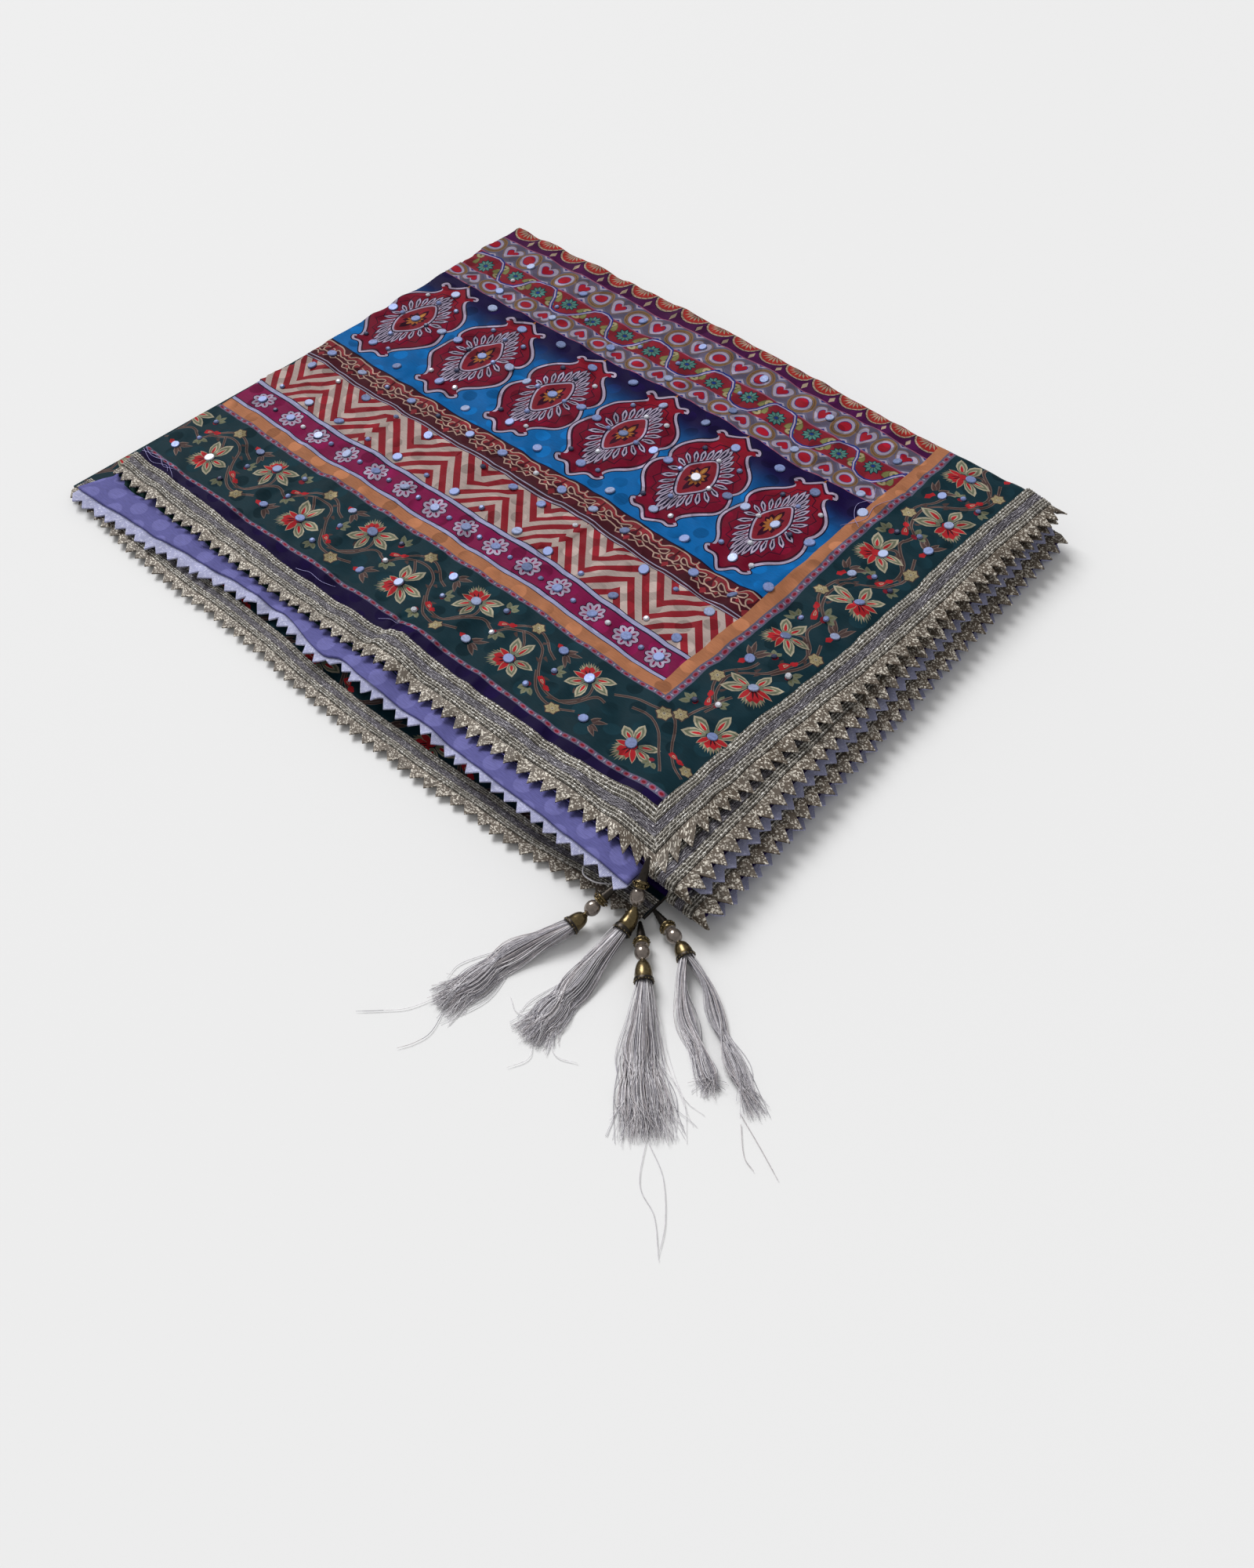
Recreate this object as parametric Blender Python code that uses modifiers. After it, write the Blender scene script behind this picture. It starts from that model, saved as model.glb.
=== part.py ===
import bmesh
import bpy
import math
from mathutils import Matrix, Vector

# Folded pile: X runs from the lengthwise fold to the open long edges, Y from the short ends
# to the crosswise folds, and the floor is at z = 0
PILE_LENGTH = 0.356
PILE_WIDTH = 0.274
LEFT = -PILE_LENGTH / 2
RIGHT = PILE_LENGTH / 2
NEAR = -PILE_WIDTH / 2
FAR = PILE_WIDTH / 2

# Height of the pile's top at its four corners
HEIGHT_LEFT_NEAR = 0.010
HEIGHT_RIGHT_NEAR = 0.024
HEIGHT_LEFT_FAR = 0.016
HEIGHT_RIGHT_FAR = 0.022

# Cloth
CLOTH = 0.0012
GAP = 0.0003
LAYER_STEP = CLOTH + GAP
EDGE_FOLD_RADIUS = 0.0022
CROSS_FOLD_RADIUS = 0.0042
FOLD_STEPS = 3
LATTICE_X = 18
LATTICE_Y = 14

# Zigzag trim: a tape with cut points along its outer edge
TRIM_WIDTH = 0.0195
TRIM_THICKNESS = 0.001
TRIM_LIFT = 0.0006
POINT_DEPTH = 0.0038
POINT_PITCH = 0.0073
MITRE_RUN = 0.042

# Soft folds that cross the top layer
FOLD_COLUMNS = ("x", "y", "heading", "half_length", "half_width", "rise")
SOFT_FOLDS = (
    (0.022, -0.128, 82, 0.030, 0.013, 0.0030),
    (-0.070, -0.126, 95, 0.022, 0.016, 0.0014),
    (0.146, -0.058, 8, 0.024, 0.015, 0.0018),
    (0.150, 0.020, -6, 0.022, 0.014, 0.0016),
    (0.140, 0.078, 12, 0.026, 0.014, 0.0014),
    (0.030, -0.036, 4, 0.110, 0.013, 0.0013),
    (-0.080, 0.020, 66, 0.050, 0.018, -0.0010),
    (0.060, 0.050, 74, 0.055, 0.018, -0.0012),
)
FAR_DROOP = 0.0025
FAR_DROOP_X = 0.085
FAR_DROOP_Y = 0.030

# The hidden layers, which share one solid
CORE_RIGHT = 0.166
CORE_NEAR = NEAR + 0.001
CORE_ROWS = 16
CORE_TUCK = 0.0032
CORE_TUCK_START = 0.0008
CORE_CORNER = 0.0035
CORE_FOOT_ROWS = 1.5
LEFT_FOLDS = 8
NEAR_ROLLS = 3
FAR_ROLLS = 4
LEFT_FOLD_DEPTH = 0.0009
ROLL_DEPTH = 0.0016
LEFT_SPREAD = 0.0060
FAR_SPREAD = 0.0020

# The lowest panel, a doubled layer that lies flat on the floor
BOTTOM_THICKNESS = 0.0024
BOTTOM_LEFT = LEFT - 0.0085
BOTTOM_RIGHT = 0.1815
BOTTOM_RIGHT_FAR = 0.174

# Where the cut edges of the lower short ends lie, and how high the reverse layer's edge is
EDGE_COLUMNS = ("x", "reverse_y", "reverse_z", "bottom_y")
END_EDGES = (
    (-0.1780, -0.1525, 0.0070, -0.1530),
    (-0.1100, -0.1515, 0.0078, -0.1585),
    (-0.0620, -0.1490, 0.0098, -0.1570),
    (-0.0400, -0.1445, 0.0116, -0.1575),
    (0.0100, -0.1460, 0.0138, -0.1598),
    (0.0300, -0.1440, 0.0152, -0.1600),
    (0.1100, -0.1465, 0.0172, -0.1565),
    (0.1740, -0.1478, 0.0178, -0.1500),
)
END_ROWS = 3
SAG_CURVE = 1.5

# Rolls at the open long edges, where a folded panel carries its trim round the fold
ROLL_COLUMNS = ("name", "radius", "near_z", "far_z", "near_edge", "far_edge", "backing_reach")
ROLLS = (
    ("upper_roll", 0.0021, 0.0158, 0.0124, 0.1935, 0.1780, 0.0035),
    ("lower_roll", 0.0021, 0.0079, 0.0050, 0.2005, 0.1850, 0.0060),
)
ROLL_NEAR = NEAR - 0.0012
ROLL_FAR = FAR - 0.0020
ROLL_STEPS = 8
BACKING_WIDTH = 0.016
BACKING_START = 0.0075
REVERSE_INSET = 0.006
REVERSE_POINTS_OUT = 0.005

# Tassels, each from its cone's tip to its bell cap and on to the ends of its silk
TASSEL_COLUMNS = ("tip", "cap", "base", "middle", "end", "middle_width", "end_width", "split")
TASSELS = (
    ((0.1700, -0.1478, 0.0142), (0.1664, -0.1640, 0.0060), (0.1652, -0.1710, 0.0048),
     (0.1568, -0.1930), (0.1525, -0.2260), 0.0105, 0.0140, 0.0),
    ((0.1746, -0.1375, 0.0239), (0.1800, -0.1530, 0.0066), (0.1809, -0.1600, 0.0048),
     (0.1832, -0.1870), (0.1855, -0.2140), 0.0105, 0.0150, 0.0),
    ((0.1820, -0.1505, 0.0024), (0.1968, -0.1650, 0.0052), (0.2020, -0.1702, 0.0048),
     (0.2190, -0.1910), (0.2430, -0.2130), 0.0150, 0.0250, 0.0),
    ((0.1823, -0.1430, 0.0026), (0.2005, -0.1492, 0.0052), (0.2065, -0.1520, 0.0048),
     (0.2270, -0.1665), (0.2610, -0.1860), 0.0080, 0.0120, 0.0042),
)
CONE_TIP_RADIUS = 0.0006
CONE_RADIUS = 0.0019
CONE_LENGTH = 0.0080
RING_RADIUS = 0.0030
RING_WIDTH = 0.0009
PEARL_RADIUS = 0.0031
LINK_RADIUS = 0.0007
LINK_GAP = 0.0007
LINK_LENGTH = 0.0017
BEAD_SIDES = 12
CAP_RADIUS = 0.0041
PEARL_STEPS = (60, 90, 120)
BELL_COLUMNS = ("rise", "girth")
BELL_LOOPS = ((0.22, 1.0), (0.45, 0.90), (0.70, 0.72), (0.90, 0.46), (1.0, 0.18))
STRAND_COLUMNS = 7
STRAND_ROWS = 4
STRAND_INSET = 0.0002
STRAND_SIDE = 0.0008
SILK_FLOOR = 0.0006
SILK_MIDDLE_HEIGHT = 0.0042
SILK_END_HEIGHT = 0.0040
SPLIT_AT_END = 0.2

NAME = "dupatta_stole"


def clear_scene():
    for old in list(bpy.data.objects):
        bpy.data.objects.remove(old, do_unlink=True)


def make_collection(name):
    group = bpy.data.collections.new(name)
    bpy.context.scene.collection.children.link(group)
    return group


def make_material(name, colour, roughness, metallic=0.0):
    material = bpy.data.materials.new(name)
    material.use_nodes = True
    shader = material.node_tree.nodes["Principled BSDF"]
    shader.inputs["Base Color"].default_value = (*colour, 1.0)
    shader.inputs["Roughness"].default_value = roughness
    shader.inputs["Metallic"].default_value = metallic
    return material


def add_object(bm, name, material):
    mesh = bpy.data.meshes.new(name)
    bm.to_mesh(mesh)
    bm.free()
    mesh.materials.append(material)
    made = bpy.data.objects.new(name, mesh)
    stole.objects.link(made)
    return made


# Between two values, and an even S-shaped ease from 0 to 1
def mix(low, high, share):
    return low + (high - low) * share


def ease(share):
    share = min(max(share, 0.0), 1.0)
    return share * share * (3.0 - 2.0 * share)


# The height of the pile's top before it is sampled on the lattice
def soft_fold_rise(x, y):
    rise = 0.0
    for row in SOFT_FOLDS:
        fold = dict(zip(FOLD_COLUMNS, row))
        heading = math.radians(fold["heading"])
        dx = x - fold["x"]
        dy = y - fold["y"]
        along = dx * math.cos(heading) + dy * math.sin(heading)
        across = dy * math.cos(heading) - dx * math.sin(heading)
        reach = (along / fold["half_length"]) ** 2 + (across / fold["half_width"]) ** 2
        rise += fold["rise"] * math.exp(-reach)
    return rise


def pile_height(x, y):
    across = (x - LEFT) / PILE_LENGTH
    along = (y - NEAR) / PILE_WIDTH
    near = mix(HEIGHT_LEFT_NEAR, HEIGHT_RIGHT_NEAR, across)
    far = mix(HEIGHT_LEFT_FAR, HEIGHT_RIGHT_FAR, across)
    droop = FAR_DROOP * ease((x - FAR_DROOP_X) / (RIGHT - FAR_DROOP_X))
    droop *= ease((y - FAR + FAR_DROOP_Y) / FAR_DROOP_Y)
    return mix(near, far, along) + soft_fold_rise(x, y) - droop


# Every layer over the core shares one lattice of heights, so that they stay parallel
def lattice_lines(low, high, count):
    return [mix(low, high, index / count) for index in range(count + 1)]


X_LINES = lattice_lines(LEFT, RIGHT, LATTICE_X)
Y_LINES = lattice_lines(NEAR, FAR, LATTICE_Y)
LATTICE = [[pile_height(x, y) for y in Y_LINES] for x in X_LINES]


def lattice_height(x, y):
    column = min(max((x - LEFT) / PILE_LENGTH, 0.0), 1.0) * LATTICE_X
    row = min(max((y - NEAR) / PILE_WIDTH, 0.0), 1.0) * LATTICE_Y
    left = min(int(column), LATTICE_X - 1)
    near = min(int(row), LATTICE_Y - 1)
    near_side = mix(LATTICE[left][near], LATTICE[left + 1][near], column - left)
    far_side = mix(LATTICE[left][near + 1], LATTICE[left + 1][near + 1], column - left)
    return mix(near_side, far_side, row - near)


# A point of the top layer from its distances along the cloth: the cloth turns down at the
# lengthwise fold and at the crosswise fold
def top_point(along_x, along_y, lift=0.0):
    fold_x = LEFT + EDGE_FOLD_RADIUS
    fold_y = FAR - CROSS_FOLD_RADIUS
    turn_x = max(fold_x - along_x, 0.0) / EDGE_FOLD_RADIUS
    turn_y = max(along_y - fold_y, 0.0) / CROSS_FOLD_RADIUS
    x = max(along_x, fold_x)
    y = min(along_y, fold_y)
    drop_x = EDGE_FOLD_RADIUS * (1.0 - math.cos(turn_x))
    drop_y = CROSS_FOLD_RADIUS * (1.0 - math.cos(turn_y))
    z = lattice_height(x, y) - math.hypot(drop_x, drop_y)
    z += lift * math.cos(turn_x) * math.cos(turn_y)
    x -= (EDGE_FOLD_RADIUS + lift) * math.sin(turn_x)
    y += (CROSS_FOLD_RADIUS + lift) * math.sin(turn_y)
    return Vector((x, y, z))


# An open grid placed by a function of its column and row, then given its thickness
def cloth_sheet(name, columns, rows, place, thickness, material):
    bm = bmesh.new()
    bmesh.ops.create_grid(bm, x_segments=columns, y_segments=rows, size=1.0)
    for vert in bm.verts:
        column = round((vert.co.x + 1.0) / 2.0 * columns)
        row = round((vert.co.y + 1.0) / 2.0 * rows)
        vert.co = place(column, row)
    made = add_object(bm, name, material)
    wall = made.modifiers.new("thickness", "SOLIDIFY")
    wall.thickness = thickness
    wall.offset = -1.0
    made.data.shade_smooth()


def build_top_layer(material):
    turn = math.pi / 2
    x_stops = [LEFT + EDGE_FOLD_RADIUS * (1.0 - turn * step / FOLD_STEPS)
               for step in range(FOLD_STEPS, 0, -1)]
    x_stops += [LEFT + EDGE_FOLD_RADIUS] + X_LINES[1:-1] + [RIGHT - POINT_DEPTH - GAP]
    y_stops = [NEAR + POINT_DEPTH + GAP] + Y_LINES[1:-1] + [FAR - CROSS_FOLD_RADIUS]
    y_stops += [FAR - CROSS_FOLD_RADIUS * (1.0 - turn * step / FOLD_STEPS)
                for step in range(1, FOLD_STEPS + 1)]

    def place(column, row):
        return top_point(x_stops[column], y_stops[row])

    cloth_sheet("printed_top_layer", len(x_stops) - 1, len(y_stops) - 1, place, CLOTH, material)


# A value of the table of edges at x, between its two nearest rows
def end_edge(x, column):
    rows = [dict(zip(EDGE_COLUMNS, row)) for row in END_EDGES]
    x = min(max(x, rows[0]["x"]), rows[-1]["x"])
    for low, high in zip(rows, rows[1:]):
        if x <= high["x"]:
            share = ease((x - low["x"]) / (high["x"] - low["x"]))
            return mix(low[column], high[column], share)


# The reverse layer's upper face: under the top layer, then sagging out beyond the short end
def reverse_point(x, y):
    z = lattice_height(x, max(y, NEAR)) - LAYER_STEP
    edge_y = end_edge(x, "reverse_y")
    sag = max(z - end_edge(x, "reverse_z"), 0.0)
    share = max(NEAR - y, 0.0) / (NEAR - edge_y)
    return Vector((x, y, z - sag * share ** SAG_CURVE))


def build_reverse_layer(material):
    x_stops = [LEFT + EDGE_FOLD_RADIUS] + X_LINES[1:-1] + [RIGHT - REVERSE_INSET]
    y_stops = Y_LINES[:-1] + [FAR - CROSS_FOLD_RADIUS - GAP]

    def place(column, row):
        x = x_stops[column]
        if row >= END_ROWS:
            return reverse_point(x, y_stops[row - END_ROWS])
        return reverse_point(x, mix(end_edge(x, "reverse_y"), NEAR, row / END_ROWS))

    rows = len(y_stops) - 1 + END_ROWS
    cloth_sheet("reverse_layer", len(x_stops) - 1, rows, place, CLOTH, material)


# The hidden layers: a block whose sides show the folds and rolls one above the other
def build_core(material):
    left = LEFT + EDGE_FOLD_RADIUS
    far = FAR - CROSS_FOLD_RADIUS
    x_stops = [left] + [x for x in X_LINES[1:] if x < CORE_RIGHT] + [CORE_RIGHT]
    y_stops = [CORE_NEAR] + [y for y in Y_LINES[1:] if y < far - CORE_TUCK] + [far]
    columns = len(x_stops) - 1
    rows = len(y_stops) - 1
    bm = bmesh.new()
    bmesh.ops.create_grid(bm, x_segments=columns, y_segments=rows, size=1.0)
    raised = bmesh.ops.extrude_face_region(bm, geom=bm.faces[:], use_keep_orig=True)
    for item in raised["geom"]:
        if isinstance(item, bmesh.types.BMVert):
            item.co.z = 1.0
    upright = [edge for edge in bm.edges if edge.verts[0].co.z != edge.verts[1].co.z]
    under = [face for face in bm.faces if all(vert.co.z == 0.0 for vert in face.verts)]
    bmesh.ops.dissolve_faces(bm, faces=under)
    bmesh.ops.subdivide_edges(bm, edges=upright, cuts=CORE_ROWS - 1)
    for vert in bm.verts:
        column = round((vert.co.x + 1.0) / 2.0 * columns)
        row = round((vert.co.y + 1.0) / 2.0 * rows)
        sides = {
            "left": column == 0,
            "right": column == columns,
            "near": row == 0,
            "far": row == rows,
        }
        vert.co = core_point(x_stops[column], y_stops[row], 1.0 - vert.co.z, sides)
    bmesh.ops.recalc_face_normals(bm, faces=bm.faces[:])
    add_object(bm, "folded_core", material)


# How far a fold or roll bulges at a depth, from 0 in the grooves between to 1 at its middle
def bulge(count, depth):
    return abs(math.sin(math.pi * count * depth))


# A point of the core at a depth from 0 at its top to 1 at its foot
def core_point(x, y, depth, sides):
    top = lattice_height(x, y) - 2.0 * LAYER_STEP
    foot = BOTTOM_THICKNESS + GAP
    tuck = ease((depth * (top - foot) - CORE_TUCK_START) / CORE_TUCK)
    tuck *= ease((1.0 - depth) * CORE_ROWS / CORE_FOOT_ROWS)
    if (sides["left"] or sides["right"]) and (sides["near"] or sides["far"]):
        x += CORE_CORNER if sides["left"] else 0.0
        y += CORE_CORNER / 2.0 if sides["near"] else -CORE_CORNER
    if sides["left"]:
        x -= (EDGE_FOLD_RADIUS + LEFT_SPREAD * depth) * tuck
        x -= LEFT_FOLD_DEPTH * bulge(LEFT_FOLDS, depth)
    if sides["near"]:
        y += ROLL_DEPTH * (1.0 - bulge(NEAR_ROLLS, depth))
    if sides["far"]:
        y += (CORE_TUCK + FAR_SPREAD * depth) * tuck
        y -= ROLL_DEPTH * (1.0 - bulge(FAR_ROLLS, depth))
    return Vector((x, y, mix(top, foot, depth)))


def build_bottom_layer(material):
    def place(column, row):
        x = mix(BOTTOM_LEFT, mix(BOTTOM_RIGHT, BOTTOM_RIGHT_FAR, row / 2.0), column / LATTICE_X)
        y = mix(end_edge(x, "bottom_y"), ROLL_FAR, row / 2.0)
        return Vector((x, y, BOTTOM_THICKNESS))

    cloth_sheet("bottom_layer", LATTICE_X, 2, place, BOTTOM_THICKNESS, material)


# A trim: a tape whose outer edge zigzags. Its place is given by the share of its length and
# by how far it lies from its inner edge
def build_trim(name, length, width, place, material):
    points = round(length / POINT_PITCH)

    def stop(column, row):
        outer = width if column % 2 == 1 else width - POINT_DEPTH
        return place(column / (2 * points), outer if row == 0 else 0.0)

    cloth_sheet(name, 2 * points, 1, stop, TRIM_THICKNESS, material)


def build_top_trims(material):
    lift = TRIM_LIFT + TRIM_THICKNESS
    side_end = FAR - CROSS_FOLD_RADIUS + CROSS_FOLD_RADIUS * math.pi / 2

    def place_end(share, reach):
        inward = TRIM_WIDTH - reach
        x = mix(LEFT + EDGE_FOLD_RADIUS, RIGHT - GAP, share)
        x -= inward * ease((x - RIGHT + MITRE_RUN) / MITRE_RUN)
        return top_point(x, NEAR + inward, lift)

    def place_side(share, reach):
        inward = TRIM_WIDTH - reach
        y = mix(NEAR + GAP, side_end, share)
        y += inward * ease((NEAR + MITRE_RUN - y) / MITRE_RUN)
        return top_point(RIGHT - inward, y, lift)

    build_trim("end_trim_top", PILE_LENGTH, TRIM_WIDTH, place_end, material)
    build_trim("side_trim_top", PILE_WIDTH, TRIM_WIDTH, place_side, material)


# The back of the trim on the reverse layer's end, sewn under the cloth
def build_reverse_trim(material):
    def place(share, reach):
        x = mix(LEFT + EDGE_FOLD_RADIUS, RIGHT - REVERSE_INSET - GAP, share)
        start = CORE_NEAR - 2.0 * GAP
        edge = end_edge(x, "reverse_y")
        y = min(edge - REVERSE_POINTS_OUT + BACKING_WIDTH - reach, start)
        slope = reverse_point(x, start).z - reverse_point(x, edge).z
        under = reverse_point(x, start).z - slope * (start - y) / (start - edge) - LAYER_STEP
        return Vector((x, y, under))

    build_trim("end_trim_reverse", PILE_LENGTH, BACKING_WIDTH, place, material)


def build_bottom_trim(material):
    def place(share, reach):
        x = mix(BOTTOM_LEFT + BOTTOM_THICKNESS, BOTTOM_RIGHT - GAP, share)
        y = end_edge(x, "bottom_y") - POINT_DEPTH + TRIM_WIDTH - reach
        return Vector((x, y, BOTTOM_THICKNESS + GAP + TRIM_THICKNESS))

    build_trim("end_trim_bottom", BOTTOM_RIGHT - BOTTOM_LEFT, TRIM_WIDTH, place, material)


def roll_middle(roll, y):
    return mix(roll["near_z"], roll["far_z"], (y - ROLL_NEAR) / (ROLL_FAR - ROLL_NEAR))


def roll_edge(roll, y):
    return mix(roll["near_edge"], roll["far_edge"], (y - ROLL_NEAR) / (ROLL_FAR - ROLL_NEAR))


# A point round a roll's fold, in Y and Z, from its underside at -90 degrees to its top
def fold_point(roll, angle, lift):
    radius = roll["radius"] + lift
    y = ROLL_NEAR + roll["radius"] - radius * math.cos(angle)
    return y, roll_middle(roll, y) + radius * math.sin(angle)


def build_roll(roll, material):
    turns = [math.pi * (step / ROLL_STEPS - 0.5) for step in range(ROLL_STEPS + 1)]
    far_middle = roll_middle(roll, ROLL_FAR)
    section = [(ROLL_FAR, far_middle - roll["radius"])]
    section += [fold_point(roll, angle, 0.0) for angle in turns]
    section += [(ROLL_FAR, far_middle + roll["radius"])]
    bm = bmesh.new()
    inner = bm.faces.new([bm.verts.new((CORE_RIGHT + GAP, y, z)) for y, z in section])
    pushed = bmesh.ops.extrude_face_region(bm, geom=[inner], use_keep_orig=True)
    for item in pushed["geom"]:
        if isinstance(item, bmesh.types.BMVert):
            item.co.x = roll_edge(roll, item.co.y)
    bmesh.ops.recalc_face_normals(bm, faces=bm.faces[:])
    add_object(bm, roll["name"], material)


# The trim on a roll: along its top, then round the fold to its underside
def build_roll_trim(roll, material):
    lift = TRIM_LIFT + TRIM_THICKNESS
    round_fold = math.pi * (roll["radius"] + lift)
    straight = ROLL_FAR - ROLL_NEAR - roll["radius"]
    length = round_fold + straight

    def place(share, reach):
        run = length * share
        if run < round_fold:
            y, z = fold_point(roll, math.pi * (run / round_fold - 0.5), lift)
        else:
            y = ROLL_NEAR + roll["radius"] + run - round_fold
            z = roll_middle(roll, y) + roll["radius"] + lift
        x = roll_edge(roll, y) + POINT_DEPTH - TRIM_WIDTH + reach
        return Vector((max(x, CORE_RIGHT + GAP), y, z))

    build_trim(roll["name"] + "_trim", length, TRIM_WIDTH, place, material)


# The back of the trim of the layer below, whose points stand out under the roll
def build_roll_backing(roll, material):
    near = ROLL_NEAR + BACKING_START
    length = ROLL_FAR - near

    def place(share, reach):
        y = mix(near, ROLL_FAR, share)
        x = roll_edge(roll, y) + roll["backing_reach"] + POINT_DEPTH - BACKING_WIDTH + reach
        return Vector((x, y, roll_middle(roll, y) - roll["radius"] - GAP))

    build_trim(roll["name"] + "_backing", length, BACKING_WIDTH, place, material)


# Axes with Z along a direction and X level
def axes_along(direction):
    ahead = direction.normalized()
    side = ahead.cross(Vector((0.0, 0.0, 1.0))).normalized()
    return Matrix((side, side.cross(ahead), ahead)).transposed()


# The beads of a tassel from its cone to just before its bell cap, one turned piece
def bead_profile(length):
    pearl_at = length - LINK_LENGTH - RING_WIDTH - PEARL_RADIUS
    ring_at = pearl_at - PEARL_RADIUS - RING_WIDTH
    profile = [(0.0, 0.0), (CONE_TIP_RADIUS, 0.0), (CONE_RADIUS, CONE_LENGTH)]
    profile += [(RING_RADIUS, ring_at), (RING_RADIUS, ring_at + RING_WIDTH)]
    for degrees in PEARL_STEPS:
        turn = math.radians(degrees)
        profile.append((PEARL_RADIUS * math.sin(turn), pearl_at - PEARL_RADIUS * math.cos(turn)))
    profile += [(RING_RADIUS, length - LINK_LENGTH - RING_WIDTH)]
    profile += [(LINK_RADIUS, length - LINK_LENGTH), (LINK_RADIUS, length - LINK_GAP)]
    return profile + [(0.0, length - LINK_GAP)]


def build_beads(name, tassel, material):
    tip = Vector(tassel["tip"])
    cap = Vector(tassel["cap"])
    bm = bmesh.new()
    profile = bead_profile((cap - tip).length)
    verts = [bm.verts.new((radius, 0.0, -down)) for radius, down in profile]
    for first, second in zip(verts, verts[1:]):
        bm.edges.new((first, second))
    made = add_object(bm, name, material)
    screw = made.modifiers.new("turn", "SCREW")
    screw.steps = BEAD_SIDES
    screw.render_steps = BEAD_SIDES
    screw.use_merge_vertices = True
    screw.merge_threshold = 0.00005
    made.matrix_world = Matrix.Translation(tip) @ axes_along(tip - cap).to_4x4()
    made.data.shade_smooth()


# The bell cap, from the disc at its base up, and the silk that is fused into that disc
def build_silk(name, tassel, material):
    cap = Vector(tassel["cap"])
    base = Vector(tassel["base"])
    axes = axes_along(base - cap)
    bm = bmesh.new()
    bmesh.ops.create_grid(bm, x_segments=STRAND_COLUMNS, y_segments=STRAND_ROWS, size=1.0)
    discs = bm.faces[:]
    roots = [(face.calc_center_median().xy, face_corners(face)) for face in discs]
    rim = [edge for edge in bm.edges if edge.is_boundary]
    for vert in bm.verts:
        u, v = vert.co.xy
        across = u * math.sqrt(1.0 - v * v / 2.0)
        upward = v * math.sqrt(1.0 - u * u / 2.0)
        vert.co = base + axes @ Vector((across, upward, 0.0)) * CAP_RADIUS
    girth_before = 1.0
    for row in BELL_LOOPS:
        bell = dict(zip(BELL_COLUMNS, row))
        grown = bmesh.ops.extrude_edge_only(bm, edges=rim)["geom"]
        rim = [item for item in grown if isinstance(item, bmesh.types.BMEdge)]
        loop = [item for item in grown if isinstance(item, bmesh.types.BMVert)]
        middle = sum((vert.co for vert in loop), Vector()) / len(loop)
        for vert in loop:
            spoke = (vert.co - middle) * bell["girth"] / girth_before
            vert.co = base.lerp(cap, bell["rise"]) + spoke
        girth_before = bell["girth"]
    bmesh.ops.edgeloop_fill(bm, edges=rim)
    bmesh.ops.inset_individual(bm, faces=discs, thickness=STRAND_INSET)
    draw_strands(bm, discs, roots, tassel)
    bmesh.ops.recalc_face_normals(bm, faces=bm.faces[:])
    add_object(bm, name, material)


# On which side of a face's centre each of its corners lies
def face_corners(face):
    centre = face.calc_center_median()
    return [[math.copysign(1.0, place) for place in (vert.co - centre).xy] for vert in face.verts]


# Each strand is drawn from its root to the middle of the silk and on to its end
def draw_strands(bm, faces, roots, tassel):
    base = Vector(tassel["base"])
    before = Vector((base.x, base.y, 0.0))
    stages = (
        ("middle", tassel["middle_width"], tassel["split"], SILK_MIDDLE_HEIGHT),
        ("end", tassel["end_width"], tassel["split"] * SPLIT_AT_END, SILK_END_HEIGHT),
    )
    for key, width, split, height in stages:
        stop = Vector((*tassel[key], 0.0))
        axes = axes_along(stop - before)
        faces = bmesh.ops.extrude_discrete_faces(bm, faces=faces)["faces"]
        for face, ((u, v), corners) in zip(faces, roots):
            aside = u * width / 2.0 + (split if u > 0.0 else -split)
            above = SILK_FLOOR + STRAND_SIDE / 2.0 + (v + 1.0) / 2.0 * height
            for vert, (right, up) in zip(face.verts, corners):
                across = aside + right * STRAND_SIDE / 2.0
                upward = above + up * STRAND_SIDE / 2.0
                vert.co = stop + axes @ Vector((across, upward, 0.0))
        before = stop


def main():
    print_cloth = make_material("printed_satin", (0.05, 0.06, 0.12), 0.45)
    reverse_cloth = make_material("lavender_reverse", (0.24, 0.22, 0.52), 0.5)
    gold_trim = make_material("zari_trim", (0.42, 0.34, 0.2), 0.4, 0.6)
    trim_back = make_material("trim_backing", (0.5, 0.49, 0.66), 0.6)
    bead_metal = make_material("antique_gold", (0.55, 0.42, 0.18), 0.3, 0.9)
    silk = make_material("tassel_silk", (0.4, 0.37, 0.38), 0.4, 0.2)
    build_top_layer(print_cloth)
    build_reverse_layer(reverse_cloth)
    build_core(print_cloth)
    build_bottom_layer(print_cloth)
    build_top_trims(gold_trim)
    build_reverse_trim(trim_back)
    build_bottom_trim(gold_trim)
    for row in ROLLS:
        roll = dict(zip(ROLL_COLUMNS, row))
        build_roll(roll, print_cloth)
        build_roll_trim(roll, gold_trim)
        build_roll_backing(roll, trim_back)
    for number, row in enumerate(TASSELS, start=1):
        tassel = dict(zip(TASSEL_COLUMNS, row))
        build_beads(f"tassel_{number}_beads", tassel, bead_metal)
        build_silk(f"tassel_{number}_silk", tassel, silk)


clear_scene()
stole = make_collection(NAME)
main()
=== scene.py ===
import bmesh
import bpy
import math
import random
import numpy as np
from mathutils import Matrix, Vector
from mathutils.geometry import delaunay_2d_cdt


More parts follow.
